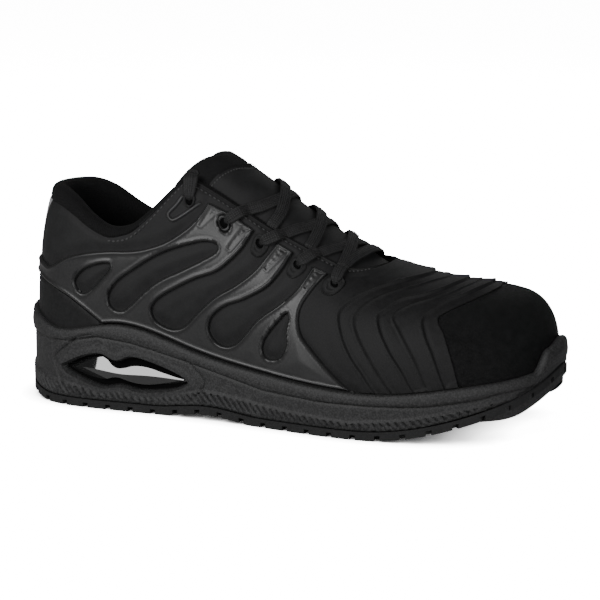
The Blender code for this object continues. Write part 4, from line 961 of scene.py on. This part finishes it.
upper = {
    "wall": 0.0028, "pad": 0.0057, "padEnd": (0.081, 0.030), "padDeep": 0.034,
    "puff": (0.0011, 0.0045, 0.0002), "puffEnd": (0.545, 0.02),
    # mm from the heel, mm under the collar's edge
    "seam": [(0, 6.2), (20, 6.2), (36, 5.0), (55, 2.8), (66, 1.4), (80, 1.2), (200, 1.0)],
    "rows": (74, 6, 11, 34),  # below and above the seam, over the roll, inside
    "groove": 0.0006, "roll": 0.0009, "knitEnd": 0.075, "toeStart": 0.7,
    "toeSeam": [(812, 0), (812, 95), (802, 230), (785, 405), (772, 510), (790, 570), (825, 650), (865, 750),
                (960, 1000)],
}


def wallDepth(x, down):
    start, ramp = upper["padEnd"]
    padded = (1 - smooth((x - start) / ramp)) * (1 - smooth(down / upper["padDeep"]))
    return upper["wall"] + upper["pad"] * padded


def puff(flat):
    # the padded fabric swells between the edges of the cage
    covered = inside(flat, cageEdge)
    for h in cageHoles:
        covered &= ~inside(flat, h)
    (high, width, foot), (start, ramp) = upper["puff"], upper["puffEnd"]
    lift = high * smooth(nearest(flat, cageLines)[0] / width) - foot
    return np.where(covered, 0.0, lift) * (1 - smooth((flat[:, 0] / sideLength - start) / ramp))


creases = [  # soft dents: place on either side, then half sizes and depth in mm
    (300, 360, 20, 7, 0.6), (262, 330, 16, 6, 0.5), (335, 560, 9, 18, 0.5), (120, 420, 30, 14, 0.5),
    (205, 480, 12, 22, 0.5),
]


def perColumn(values, known, result):
    # each column's value read off that column's own curve
    return np.array([np.interp(v, x, y) for v, x, y in zip(values, known, result)])


def makeUpper():
    way = np.linspace(0.5, 0.9, 4001)
    end = float(np.interp(form["throat"][1], ridgeX(way), way))  # where the throat ends on the ridge
    closer = end - 0.020 * np.cos(np.linspace(0, np.pi / 2, 26))[:-1] ** 1.5
    side = np.concatenate([np.linspace(0, end - 0.020, 210, endpoint=False), closer, [end],
                           np.linspace(end, 1, 110)[1:]])
    u = np.concatenate([side, (2 - side[1:-1])[::-1]])
    count, oneSide = len(u), np.where(u <= 1, u, 2 - u)
    top = np.minimum(openAround(u), 1.0)
    ahead = np.abs(u - 1) <= 1 - end + 1e-9  # columns that close on the ridge
    top[ahead] = 1.0
    # places up each column by the length of its section
    shares = top[:, None] * np.linspace(0, 1, 161)
    line = section(np.repeat(u[:, None], shares.shape[1], 1), shares)
    run = np.concatenate([np.zeros((count, 1)),
                          np.cumsum(np.linalg.norm(np.diff(line, axis=1), axis=2), axis=1)], 1)
    collarX, full = line[:, -1, 0], run[:, -1]
    seamX, seamDeep = np.array(upper["seam"]).T / 1000
    seam = np.interp(collarX, seamX, seamDeep)
    rowsBelow, rowsAbove, rowsRoll, rowsInner = upper["rows"]
    base = rimAround(u) * 0.35
    baseRun, seamRun = perColumn(base, shares, run), full - np.where(ahead, 0.0, seam)
    steps = [baseRun + (seamRun - baseRun) * n / rowsBelow for n in range(rowsBelow + 1)]
    steps += [seamRun + (full - seamRun) * n / rowsAbove for n in range(1, rowsAbove + 1)]
    around = np.array([perColumn(at, run, shares) for at in steps])
    flat = np.stack([oneSide[None, :].repeat(len(around), 0) * sideLength, around * form["section"]], -1)
    lift = puff(flat.reshape(-1, 2)).reshape(around.shape)
    for a, q, alongHalf, aroundHalf, deep in creases:
        reach = (flat - flatten([(a, q)])[0]) / np.array([alongHalf, aroundHalf]) * 1000
        lift -= deep / 1000 * np.exp(-reach[..., 0] ** 2 - reach[..., 1] ** 2)
    down = full[None, :] - np.array([perColumn(row, shares, run) for row in around])
    openPart = np.where(ahead, 0.0, 1.0)[None, :]
    lift = lift * smooth((down - seam) / 0.004) - upper["groove"] * hump(down - seam, 0.0012) * openPart
    lift += upper["roll"] * smooth(seam / 0.005)[None, :] * openPart * smooth((seam - down) / (seam * 0.6))
    outer = [last(u, q, rise) for q, rise in zip(around, lift)]
    # the roll over the padded edge, then the inner face down into the shoe
    normal = lastNormal(u, np.minimum(top, 0.9995))
    upward = unit(line[:, -1] - line[:, -3])
    thick = wallDepth(collarX, 0.0)
    rise = np.where(ahead, 0.0, thick / 2)
    centre = line[:, -1] + normal * ((lift[-1] - thick) / 2)[:, None]
    rolls = []
    for a in (math.pi * n / rowsRoll for n in range(1, rowsRoll)):
        out = normal * (math.cos(a) * (thick + lift[-1]) / 2)[:, None]
        rolls.append(centre + out + upward * (math.sin(a) * rise)[:, None])
    inner = []
    lowRun = perColumn(np.minimum(0.06, base), shares, run)
    for n in range(rowsInner + 1):
        at = full + (lowRun - full) * (n / rowsInner)
        q = perColumn(at, run, shares)
        inner.append(last(u, np.minimum(q, 0.9995),
                          -wallDepth(section(u, q)[:, 0], np.where(ahead, 1.0, full - at))))
    points, faces = loft(outer + rolls + inner)
    rest = len(rolls) + len(inner)
    gaps = len(outer) + rest - 1
    bands, columns = np.repeat(np.arange(gaps), count), np.tile(np.arange(count), gaps)
    shut = ahead[columns] | ahead[(columns + 1) % count]
    keep = ~(shut & (bands >= len(outer) - 1) & (bands < len(outer) + len(rolls)))
    # knit above the seam and inside; woven cover on the toe; the rest is smooth microfibre
    toeSeam = flatten(upper["toeSeam"])
    along = oneSide[columns] * sideLength
    up = np.concatenate([around, np.full((rest, count), 2.0)])[bands, columns] * form["section"]
    knit = (bands >= len(outer) - 1) | ((bands >= rowsBelow) & (collarX[columns] < upper["knitEnd"]))
    onToe = along > np.interp(up, toeSeam[:, 1], toeSeam[:, 0]) - 0.002
    onToe &= along > upper["toeStart"] * sideLength
    slots = np.where(knit, 1, np.where(onToe, 2, 0))
    across = around * form["section"]
    across = np.concatenate([across, across[-1] + np.arange(1, rest + 1)[:, None] * 0.0017])
    uv = np.column_stack([np.tile(oneSide * sideLength, len(across)), across.ravel()])
    piece = addMesh("upperShell", points, faces[keep], [smoothFibre, collarKnit, toeWeave], slots=slots[keep],
                    uv=uv, sharp=0, replaces=["upper"], slot="microfibre")
    # the two sides meet on the ridge ahead of the throat
    piece.modifiers.new("join", "WELD").merge_threshold = 0.00005


plates = {  # lines from the rim to the ridge, in thousandths of the side's length and of the section
    "rear": [(655, 62), (640, 95), (600, 160), (570, 215), (550, 255), (543, 305), (545, 360), (556, 450),
             (572, 560), (590, 600), (618, 640), (640, 690), (655, 760), (664, 860), (667, 1000)],
    "laps": [
        [(688, 50), (685, 90), (662, 175), (642, 240), (623, 330), (615, 420), (630, 505), (662, 630),
         (713, 825), (733, 1000)],
        [(748, 50), (745, 95), (723, 215), (703, 300), (682, 410), (677, 480), (688, 525), (705, 600),
         (748, 690), (780, 805), (807, 1000)],
        [(793, 50), (792, 95), (770, 295), (755, 405), (748, 500), (763, 565), (787, 645), (818, 720),
         (870, 905), (885, 1000)],
    ],
    "veins": [
        [(715, 50), (713, 95), (675, 240), (645, 365), (640, 435), (664, 560), (708, 705), (733, 795),
         (765, 1000)],
        [(769, 50), (768, 95), (743, 265), (715, 405), (700, 490), (722, 580), (765, 670), (797, 760),
         (838, 1000)],
    ],
    "front": [(813, 50), (812, 95), (802, 230), (785, 405), (772, 510), (790, 570), (825, 650), (865, 750),
              (905, 880), (925, 1000)],
    "clear": 0.0003, "lift": 0.00075, "relief": (0.00075, 0.012, 0.00040, 0.00035, 0.00045, 0.00022),
}


def overRidge(points, spacing=0.0007):
    # a line from the outer rim over the ridge to the inner rim
    start = points[0][0] / 1000
    rest = [(a / 1000, q / 1000) for a, q in points[1:] if q > 55]
    points = [(start, float(rimAround(start, plates["clear"])[0]))] + rest
    outer = [(a * sideLength, -(1 - q) * form["section"]) for a, q in points]
    return curveThrough(outer + [(x, -y) for x, y in reversed(outer[:-1])], False, spacing)


def makePlates():
    rear, front = overRidge(plates["rear"]), overRidge(plates["front"])
    laps, veins = ([overRidge(points) for points in plates[name]] for name in ("laps", "veins"))

    def rim(first, final, side):
        u = np.linspace(first, final, 90)[1:-1]
        return np.column_stack([u * sideLength, side * (1 - rimAround(u, plates["clear"])) * form["section"]])

    first, final = rear[0, 0] / sideLength, front[0, 0] / sideLength
    edge = np.vstack([rear[::-1], rim(first, final, -1), front, rim(final, first, 1)])
    marks = []
    for lines, shifts in ((laps, (-0.0008, -0.0003, 0.0002, 0.0008)), (veins, (-0.0007, 0.0, 0.0007))):
        marks += [evenly(offset(line, shift), 0.0008)[1:-1] for line in lines for shift in shifts]
    marks = [m[inside(m, edge)] for m in marks]
    step, fade, bead, dip, vein, groove = plates["relief"]

    def height(flat):
        lift = np.full(len(flat), plates["lift"])
        for lap in laps:
            away, side = nearest(flat, [lap])
            ahead = away * -side  # negative behind the line, positive toward the toe
            lapped = np.where(ahead < 0, step * (1 - smooth(np.clip(-ahead, 0, None) / fade)), 0.0)
            lift += lapped * smooth(-ahead / 0.0004 + 0.5)
            lift += bead * hump(ahead + 0.0006, 0.0008)
            lift -= dip * hump(ahead - 0.0012, 0.0018)
        for line in veins:
            away = nearest(flat, [line])[0]
            lift += vein * hump(away, 0.0007) - groove * hump(away - 0.0014, 0.0010)
        lift += 0.00025 * hump(nearest(flat, [front])[0] - 0.0005, 0.0007)
        return lift - 0.0004 * (1 - smooth(nearest(flat, [rear])[0] / 0.004))

    skin("vampSkin", edge, [], marks, 0.00105, height, overPlace, nubuck, -0.0004, sharp=60,
         replaces=["vamp_plates"], slot="microfibre")


def makeCounter():
    seam = [(a - 1, q - 3) for a, q in cage["heel"][:-1]] + [(0, 157)]
    top = curveThrough(flatten([(-a, q) for a, q in seam[:-1]] + seam[::-1]), False, 0.0007)
    u = np.linspace(0.2195, -0.2195, 260)
    edge = np.vstack([top, np.column_stack([u * sideLength, rimAround(u % 2.0, 0.0003) * form["section"]])])

    def height(flat):
        away = nearest(flat, [top])[0]
        return 0.0009 - 0.0004 * (1 - smooth(away / 0.0006)) + 0.00025 * hump(away - 0.0010, 0.0009)

    marks = [evenly(offset(top, shift), 0.0009)[2:-2] for shift in (0.0007, 0.0014)]
    skin("heelPanel", edge, [], marks, 0.0011, height, heelPlace, nubuck, -0.0002, sharp=60,
         replaces=["heel_counter"], slot="microfibre")
    rows = [evenly(offset(top, shift), 0.0027)[3:-3] for shift in (0.0024, 0.0046)]
    makeStitches("heelStitches", rows, heelPlace, 0.00100, 0.0017)


stitch = {  # rings along one stitch: place, width, height; and round a ring: side, height
    "rings": ((-0.5, 0.3, 0.0), (-0.3, 1.0, 0.6), (0.0, 1.1, 1.0), (0.3, 1.0, 0.6), (0.5, 0.3, 0.0)),
    "round": ((-1, -0.5), (-0.6, 0.7), (0.6, 0.7), (1, -0.5)), "half": 0.00032, "high": 0.0003,
}


def makeStitches(name, rows, place, lift, length):
    # short raised stitches laid along rows of places
    points, faces = [], []
    for row in rows:
        for p, t in zip(row, unit(np.gradient(row, axis=0))):
            n = np.array([-t[1], t[0]])
            start = len(points)
            for s, w, h in stitch["rings"]:
                for side, up in stitch["round"]:
                    flat = (p + t * s * length + n * side * w * stitch["half"])[None, :]
                    ground = lift(flat) if callable(lift) else lift
                    points.append(place(flat, ground + np.array([(h * 0.5 + 0.5) * up * stitch["high"]]))[0])
            for a in (start + 4 * ring + step for ring in range(4) for step in range(3)):
                faces.append((a, a + 1, a + 5, a + 4))
    addMesh(name, points, faces, thread, sharp=0, slot="lace")


def makeStrip():
    # grey reflective tape up the back of the heel, to a share of the way up to the collar
    high = float(openAround(0.0)[0])
    outline = [(28, 345), (32, 420), (42, 560), (53, 700), (62, 820), (65, 930)]
    right = curveThrough(flatten([(a, share * high) for a, share in outline]), False, 0.0007)
    across = np.column_stack([np.linspace(1, -1, 30)[1:-1], np.ones(28)])
    edge = np.vstack([right, right[-1] * across, right[::-1] * np.array([-1, 1]),
                      right[0] * across * np.array([-1, 1])])
    ring = closing(edge)

    def height(flat):
        return 0.0006 + 0.0003 * smooth(nearest(flat, [ring])[0] / 0.0008)

    skin("heelTape", edge, [], [], 0.0010, height, heelPlace, tapeGrey, -0.0002, sharp=60,
         replaces=["heel_strip"], slot="tape")


makeUpper()
for name in sides:
    makeCage(name)
makePlates()
makeCounter()
makeStrip()
print("upper done")

# Tongue, laces and eyelets

tongue = {
    "final": 0.700, "half": 0.50, "tip": (0.3955, 0.171, 0.090), "corner": (0.45, 0.05, 0.030),
    "arc": (0.437, 0.161, 0.063), "drop": 0.0036, "toeDrop": (0.590, 0.060, 0.0004), "thick": 0.0040,
    "swell": 0.0016, "patch": 0.47, "band": 0.0030,
}


def tipAt(t):
    # the tongue's round top, back toward the collar on both sides
    high, lean, soft = tongue["tip"]
    start, width, ahead = tongue["corner"]
    return high - lean * np.sqrt(t**2 + soft**2) + ahead * np.clip((np.abs(t) - start) / width, 0, 1) ** 2


def arcAt(t):
    high, lean, soft = tongue["arc"]
    return high - lean * np.sqrt(t**2 + soft**2)


def tongueTop(flat):
    # lift of the tongue's outer face
    a, t = flat[:, 0] / sideLength, flat[:, 1] / form["section"]
    start, ramp, toe = tongue["toeDrop"]
    down = (a - tipAt(t)) * sideLength
    lift = -(tongue["drop"] + toe * smooth((a - start) / ramp))
    swell = smooth((0.42 - np.abs(t)) / 0.14) * (1 - smooth((a - 0.600) / 0.045)) * smooth(down / 0.006)
    lift += tongue["swell"] * swell
    seam = (a - arcAt(t)) * sideLength
    lift -= 0.0007 * hump(seam, 0.0014) * (np.abs(t) < tongue["patch"])
    return lift - 0.0003 * hump(down - tongue["band"], 0.0009)


def makeTongue():
    # a soft closed pad: rows from the round top down into the shoe, each a flat ring with round edges
    shares = np.concatenate([0.04 * (1 - np.cos(np.linspace(0, np.pi / 2, 16)))[1:],
                             np.linspace(0.04, 1.0, 170)[1:]])
    turn = np.concatenate([np.linspace(0.0, np.pi, 85), np.linspace(np.pi, 2 * np.pi, 41)[1:-1]])
    across = np.sign(np.cos(turn)) * np.abs(np.cos(turn)) ** 0.35
    up = np.sign(np.sin(turn)) * np.abs(np.sin(turn)) ** 0.45
    t = -across * tongue["half"]
    rings, places = [], []
    for share in shares:
        a = tipAt(t) + (tongue["final"] - tipAt(t)) * share
        flat = np.column_stack([a * sideLength, t * form["section"]])
        thick = tongue["thick"] * np.sqrt(np.minimum(1.0, (a - tipAt(t)) * sideLength / 0.0025))
        high = tongueTop(flat)
        middle = np.minimum(high, -tongue["drop"]) - tongue["thick"] / 2
        above = middle + (high - middle) * up * thick / tongue["thick"]
        rings.append(overPlace(flat, np.where(up > 0, above, middle + thick / 2 * up)))
        places.append(flat)
    points, faces = loft(rings)
    flat = np.array(places).reshape(-1, 2)
    centres = flat[faces].mean(axis=1)
    t = centres[:, 1] / form["section"]
    patch = (centres[:, 0] / sideLength > arcAt(t)) & (np.abs(t) < tongue["patch"])
    count = len(turn)
    caps = [tuple(range(count))[::-1], tuple(range(len(flat) - count, len(flat)))]
    piece = addMesh("tonguePad", points, [tuple(f) for f in faces] + caps, [tongueMesh, smoothFibre],
                    slots=np.append(patch.astype(int), [0, 0]), uv=flat, sharp=0, replaces=["tongue"],
                    slot="knit")
    line = np.linspace(-0.42, 0.42, 300)
    arc = np.column_stack([(arcAt(line) + 0.0055) * sideLength, line * form["section"]])
    makeStitches("tongueStitches", [evenly(arc, 0.0028)], overPlace, lambda flat: tongueTop(flat) + 0.0001,
                 0.0018)


makeTongue()

laces = {
    "width": 0.0066, "thick": 0.0012, "cords": 5, "hole": 0.40, "flare": 0.0052, "over": 0.0023,
    "under": -0.0030, "rest": -0.0008,
    # how the lace comes out of a hole
    "hook": [(0.0, -0.0035), (0.0006, -0.0010), (0.0022, 0.0), (0.0045, 0.0)],
    # eyelets that a run joins, its way over the tongue in thousandths, raised where it passes over another,
    # outside at both ends
    "runs": [
        (("outer", 5), ("inner", 5), [(600, -360), (608, -240), (620, -100), (625, 50), (621, 200),
                                      (608, 330)], 1, True),
        (("outer", 4), ("inner", 5), [(553, -370), (572, -270), (590, -150), (600, 0), (605, 200)], 0, False),
        (("inner", 4), ("outer", 5), [(560, 330), (580, 160), (592, 0), (600, -130), (602, -260)], 1, False),
        (("outer", 3), ("inner", 4), [(496, -400), (517, -300), (539, -170), (550, 0), (548, 200)], 0, False),
        (("inner", 3), ("outer", 4), [(495, 360), (522, 160), (540, 0), (549, -130), (549, -280)], 1, False),
        (("outer", 2), ("inner", 3), [(444, -380), (466, -290), (485, -150), (491, 0), (487, 200)], 0, False),
        (("inner", 2), ("outer", 3), [(440, 360), (464, 160), (480, 0), (490, -140), (492, -270)], 1, False),
    ],
    # the ends, over the throat's edge and out of sight inside: along, around on both sides, lift in mm, width
    "ends": [(0.352, -0.493, 0.497, -1.5, 0.5), (0.3515, -0.484, 0.488, 1.2, 0.6),
             (0.351, -0.466, 0.470, 2.0, 0.9), (0.349, -0.430, 0.434, 2.1, 1.15),
             (0.347, -0.402, 0.404, 1.8, 1.25), (0.346, -0.386, 0.388, 0.4, 1.25),
             (0.346, -0.382, 0.384, -1.8, 1.2), (0.347, -0.385, 0.387, -4.4, 1.0)],
}


def eyeletPlace(name, k):
    x, y = flatten([eyelets[name][k - 1]])[0]
    return np.array([x, sides[name] * (form["section"] - y)])


def throatEdge(name, x):
    return (1 - float(openAround(sideWay(name, x / sideLength))[0])) * form["section"]


def softened(values, reach):
    kernel = np.hanning(2 * reach + 3)[1:-1]
    padded = np.concatenate([np.full(reach, values[0]), values, np.full(reach, values[-1])])
    return np.convolve(padded, kernel / kernel.sum(), "valid")


def ribbon(flat, lift, width, start):
    # a woven flat lace of raised cords along a way over the shoe
    centre = overPlace(flat, lift)
    normal = unit(overPlace(flat, lift + 0.0002) - centre)
    run = np.gradient(overPlace(flat, np.zeros(len(flat))), axis=0)
    ahead = run[min(6, len(run) - 1)]
    run = np.array([r if np.linalg.norm(r) > 1e-5 else ahead for r in run])
    side = unit(np.cross(run, normal))
    up = unit(np.cross(side, np.gradient(centre, axis=0)))
    up *= np.where((up * normal).sum(1) < 0, -1, 1)[:, None]
    turn = np.linspace(0, 2 * np.pi, 44, endpoint=False)
    x = np.sign(np.cos(turn)) * np.abs(np.cos(turn)) ** 0.6
    y = np.sign(np.sin(turn)) * np.abs(np.sin(turn)) ** 0.6
    cords = 0.00020 * np.cos(x * np.pi * laces["cords"]) * np.sign(y)
    away = lengths(centre)
    rings = []
    for i in range(len(flat)):
        height = (y * laces["thick"] / 2 * (1.5 - 0.5 * width[i]) + cords) - 0.00035 * x**2
        across = (x * width[i] * laces["width"] / 2)[:, None]
        rings.append(centre[i] + side[i] * across + up[i] * height[:, None])
    points, faces = loft(rings)
    faces = [tuple(int(v) + start for v in f) for f in faces]
    count = len(turn)
    caps = np.arange(count) + start
    faces += [tuple(caps[::-1]), tuple(caps + (len(flat) - 1) * count)]
    uv = np.column_stack([np.repeat(away, count), np.tile(x * laces["width"] / 2, len(flat))])
    return points, faces, uv


def makeLaces():
    sets, faces, uvs = [], [], []
    hookWay, hookLift = np.array(laces["hook"]).T
    for begin, stop, via, over, outside in laces["runs"]:
        middle = np.array(via) / 1000 * (sideLength, form["section"])
        flat = evenly(curveThrough(np.vstack([eyeletPlace(*begin), middle, eyeletPlace(*stop)]), False,
                                   0.0004), 0.0007)
        away = lengths(flat)
        left = away[-1] - away
        rest = laces["rest"] + over * 0.0013 * hump(away / away[-1] - 0.5, 0.36)

        def nearEnd(name, x, target):
            # from the rest over the tongue to the target over the facing
            beyond = np.abs(flat[:, 1]) - throatEdge(name, x)
            return rest + (target - rest) * smooth((beyond + 0.0022) / 0.0030)

        start = nearEnd(begin[0], middle[0, 0], laces["over"]) + np.interp(away, hookWay, hookLift)
        end = nearEnd(stop[0], middle[-1, 0], laces["over"] if outside else laces["under"])
        end += np.interp(left, hookWay, hookLift) if outside else 0.0
        lift = softened(np.where(away < away[-1] / 2, start, end), 5)
        ends = np.minimum(away, left) if outside else away
        width = laces["hole"] + (1 - laces["hole"]) * smooth(ends / laces["flare"])
        points, quads, uv = ribbon(flat, lift, width, sum(len(s) for s in sets))
        sets.append(points)
        faces += quads
        uvs.append(uv)
    addMesh("laceRuns", np.vstack(sets), faces, laceWeave, uv=np.vstack(uvs), sharp=0, replaces=["laces"],
            slot="lace")
    for name in sides:
        way = [(row[0] * sideLength, row[1 + (name == "inner")] * form["section"], row[3] / 1000,
                row[4] / 1000) for row in laces["ends"]]
        way = evenly(curveThrough(way, False, 0.0003), 0.0005)
        points, quads, uv = ribbon(way[:, :2], way[:, 2], way[:, 3] * 1000, 0)
        addMesh("laceEnd" + name.capitalize(), points, quads, laceWeave, uv=uv, sharp=0,
                replaces=["lace_end_" + name], slot="lace")


makeLaces()

loops = {  # raised loops round the eyelets, in mm from the hole, and whether a second one follows inside
    1: ([(-3.6, 1.2), (-3.4, -1.8), (-1.2, -3.2), (1.6, -2.0), (3.4, 1.6), (2.2, 3.6), (-1.0, 3.8)], False),
    2: ([(-3.4, 0.0), (-2.4, -2.4), (0.0, -3.4), (2.4, -2.4), (3.4, 0.0), (2.4, 2.4), (0.0, 3.4),
         (-2.4, 2.4)], False),
    3: ([(1.0, 5.4), (-2.8, 3.0), (-4.2, -2.8), (-3.8, -6.6), (-0.8, -7.2), (2.6, -4.3), (5.2, 1.8),
         (4.6, 4.8)], True),
    4: ([(0.6, 4.8), (-2.9, 2.6), (-5.0, -5.0), (-4.4, -8.2), (-1.2, -8.3), (3.0, -3.4), (5.0, 1.6),
         (4.2, 4.4)], True),
    5: ([(-0.6, 4.6), (-4.4, 1.0), (-6.2, -4.4), (-5.6, -8.3), (-2.4, -8.4), (1.9, -5.0), (5.4, 3.2),
         (4.0, 5.8)], True),
    "lift": 0.00030, "bead": 0.00050, "hole": 0.0021, "onFilm": {2: 0.0015, 5: 0.0011},
    "tab": [(-4.0, 0.9), (-7.3, -4.3), (-11.2, -8.9), (-10.6, -10.0), (-7.9, -10.6), (-1.3, -6.0),
            (6.6, 1.5)],
}


def makeEyelet(name, k):
    centre = flatten([eyelets[name][k - 1]])[0]
    outline, double = loops[k]
    ring = curveThrough(centre + np.array(outline) / 1000, True, 0.0004)
    if np.cross(ring[0] - centre, ring[len(ring) // 4] - centre) < 0:
        ring = ring[::-1]
    hole = circle(centre, loops["hole"], 28)
    second = centre + (ring - centre) * 0.60

    def ground(flat):
        return puff(flat) + loops["onFilm"].get(k, 0.0)

    def height(flat):
        outer, inner = (hump(nearest(flat, [closing(line)])[0] - 0.0006, 0.0007) for line in (ring, hole))
        lift = ground(flat) + loops["lift"] + loops["bead"] * np.maximum(outer, inner)
        if double:
            bead = 0.8 * loops["bead"] * hump(nearest(flat, [second])[0], 0.0006)
            lift = np.maximum(lift, ground(flat) + loops["lift"] + bead)
        return lift

    shares = (0.93, 0.84, 0.66, 0.60, 0.54) if double else (0.90, 0.82)
    marks = [evenly(centre + (ring - centre) * s, 0.0005, True) for s in shares]
    marks = [m for m in (m[~inside(m, centre + (hole - centre) * 1.12)] for m in marks) if len(m) > 3]
    label, flip = "eyelet" + name.capitalize() + str(k), name == "inner"
    skin(label, ring, [hole], marks, 0.0006, height, sidePlace(name), cageFilm if k == 2 else smoothFibre,
         lambda flat: ground(flat) - 0.0003, flip=flip, sharp=60, replaces=["eyelet_%s_%d" % (name, k)],
         slot="cage")
    # a near-black sheet in the hole: painted shade where the shoe is open
    skin(label + "Hole", centre + (hole - centre) * 0.97, [], [], 0.0010, lambda flat: ground(flat) + 0.00005,
         sidePlace(name), paintedShade, lambda flat: ground(flat) - 0.0004, flip=flip, sharp=0, slot="cage")


def makeTab(name):
    # the raised line round the top eyelet's tab
    line = curveThrough(flatten([eyelets[name][0]])[0] + np.array(loops["tab"]) / 1000, False, 0.0004)
    edge = np.vstack([offset(line, 0.0007), offset(line, -0.0007)[::-1]])
    skin("tabLine" + name.capitalize(), edge, [], [line[1:-1]], 0.0008,
         lambda flat: puff(flat) + 0.00055 * hump(nearest(flat, [line])[0], 0.0008), sidePlace(name),
         cageFilm, lambda flat: puff(flat) - 0.0003, flip=name == "inner", sharp=0, slot="cage")


for name in sides:
    for k in range(1, 6):
        makeEyelet(name, k)
    makeTab(name)


dress("insole", "insolePad", collarKnit, 0.0008)


def throatLine(name, start, stop, count, drop=0.0):
    a = np.linspace(start, stop, count)
    return np.column_stack([a * sideLength, openAround(sideWay(name, a)) * form["section"] - drop])


def makeLining(name):
    # the pinked edge of the lining, out from under the facing into the throat
    line = evenly(throatLine(name, 0.362, 0.652, 200), 0.00095)
    tooth = np.where(np.arange(len(line)) % 2 == 0, 0.0030, 0.0020)
    rows = [(-0.0020, -0.0024), (0.0, -0.0024), (tooth, -0.0025), (tooth, -0.0032), (0.0, -0.0031),
            (-0.0020, -0.0031)]
    rings = []
    for reach, lift in rows:
        flat = np.column_stack([line[:, 0], line[:, 1] + reach])
        rings.append(sidePlace(name)(flat, np.full(len(flat), lift)))
    points, faces = loft(rings, closedRings=False, closedColumns=True)
    addMesh("lining" + name.capitalize(), points, faces[:, ::-1] if name == "outer" else faces, tongueMesh,
            uv=np.tile(line, (len(rows), 1)), sharp=40, slot="knit")


for name in sides:
    makeLining(name)
for name in sides:  # stitches just under the collar's front and along the throat's edge
    row = evenly(throatLine(name, 0.225, 0.640, 400, 0.0026), 0.0026)
    makeStitches("edgeStitches" + name.capitalize(), [row], sidePlace(name), 0.0004, 0.0016)
print("laces and trim done")

# Studio

def addLight(name, size, place, target, power):
    data = bpy.data.lights.new(name, "AREA")
    data.shape, data.size, data.size_y, data.energy = "RECTANGLE", size[0], size[1], power
    lamp = bpy.data.objects.new(name, data)
    lamp.location = place
    lamp.rotation_euler = (Vector(target) - Vector(place)).to_track_quat("-Z", "Y").to_euler()
    bpy.context.collection.objects.link(lamp)


def makeStudio():
    # what the camera sees of the floor and the air is brighter than the light that they give the shoe
    world = bpy.data.worlds.new("studio")
    world.use_nodes = True
    nodes, links = world.node_tree.nodes, world.node_tree.links
    air = nodes["Background"]
    air.inputs["Color"].default_value, air.inputs["Strength"].default_value = (1, 1, 1, 1), studio["world"]
    seen = node(nodes, "ShaderNodeBackground", links, {"Color": (1, 1, 1, 1), "Strength": studio["seen"]})
    path = node(nodes, "ShaderNodeLightPath")
    mixed = node(nodes, "ShaderNodeMixShader", links, {},
                 {0: path.outputs["Is Camera Ray"], 1: air.outputs[0], 2: seen.outputs[0]})
    links.new(mixed.outputs[0], nodes["World Output"].inputs["Surface"])
    bpy.context.scene.world = world
    for name, size, place, power in studio["lights"]:
        addLight(name, size, place, (0, 0, 0.06), power)
    mesh = bpy.data.meshes.new("floor")
    half = studio["half"]
    mesh.from_pydata([(-half, -half, 0), (half, -half, 0), (half, half, 0), (-half, half, 0)], [],
                     [(0, 1, 2, 3)])
    paint = bpy.data.materials.new("paleFloor")
    paint.use_nodes = True
    nodes, links = paint.node_tree.nodes, paint.node_tree.links
    nodes.remove(nodes["Principled BSDF"])
    plain = node(nodes, "ShaderNodeBsdfDiffuse", links, {"Color": (*studio["floor"], 1)})
    # soft contact shadow, deepened for the bright floor
    distance, power = studio["shade"]
    near = node(nodes, "ShaderNodeAmbientOcclusion", links, {"Distance": distance})
    deeper = maths(nodes, links, "POWER", near.outputs["AO"], power)
    tone = node(nodes, "ShaderNodeMix", links, {}, {0: deeper}, data_type="RGBA")
    for socket, colour in ((6, "floor"), (7, "floorSeen")):
        tone.inputs[socket].default_value = (*studio[colour], 1)
    bright = node(nodes, "ShaderNodeBsdfDiffuse", links, {}, {"Color": tone.outputs[2]})
    glow = node(nodes, "ShaderNodeEmission", links, {"Color": (1, 1, 1, 1)},
                {"Strength": maths(nodes, links, "MULTIPLY", deeper, studio["glow"])})
    added = node(nodes, "ShaderNodeAddShader", links, {}, {0: bright.outputs[0], 1: glow.outputs[0]})
    path = node(nodes, "ShaderNodeLightPath")
    mixed = node(nodes, "ShaderNodeMixShader", links, {},
                 {0: path.outputs["Is Camera Ray"], 1: plain.outputs[0], 2: added.outputs[0]})
    links.new(mixed.outputs[0], nodes["Material Output"].inputs["Surface"])
    mesh.materials.append(paint)
    floor = bpy.data.objects.new("floor", mesh)
    bpy.context.collection.objects.link(floor)


camera = {
    "azimuth": 22.0, "elevation": 11.5, "distance": 1.5, "target": (0.0, 0.00113, 0.05),
    "lens": 168.84, "sensor": 36.0, "size": 600, "middle": (292.4, 316.7),  # the last two in pixels
}


def makeCamera():
    azimuth, elevation = math.radians(camera["azimuth"]), math.radians(camera["elevation"])
    target, size, (across, down) = Vector(camera["target"]), camera["size"], camera["middle"]
    back = Vector((math.sin(azimuth) * math.cos(elevation), -math.cos(azimuth) * math.cos(elevation),
                   math.sin(elevation)))
    data = bpy.data.cameras.new("camera")
    data.lens, data.sensor_width = camera["lens"], camera["sensor"]
    data.shift_x, data.shift_y = (size / 2 - across) / size, (down - size / 2) / size
    lens = bpy.data.objects.new("camera", data)
    lens.location = target + back * camera["distance"]
    lens.rotation_euler = back.to_track_quat("Z", "Y").to_euler()
    bpy.context.collection.objects.link(lens)
    bpy.context.scene.camera = lens


studio = {
    "world": 0.11, "seen": 18.0, "floor": (0.70, 0.70, 0.70), "floorSeen": (16.0, 16.0, 16.0),
    "shade": (0.017, 1.9), "glow": 12.0,
    "half": 6.0,  # half the floor's width
    "lights": [
        ("key", (1.0, 0.8), (-0.7, -1.3, 0.85), 26.0),
        ("fill", (1.2, 0.8), (1.0, -1.2, 0.45), 13.0),
        ("back", (1.4, 0.5), (0.2, 1.2, 0.9), 3.0),
    ],
}
makeStudio()
makeCamera()
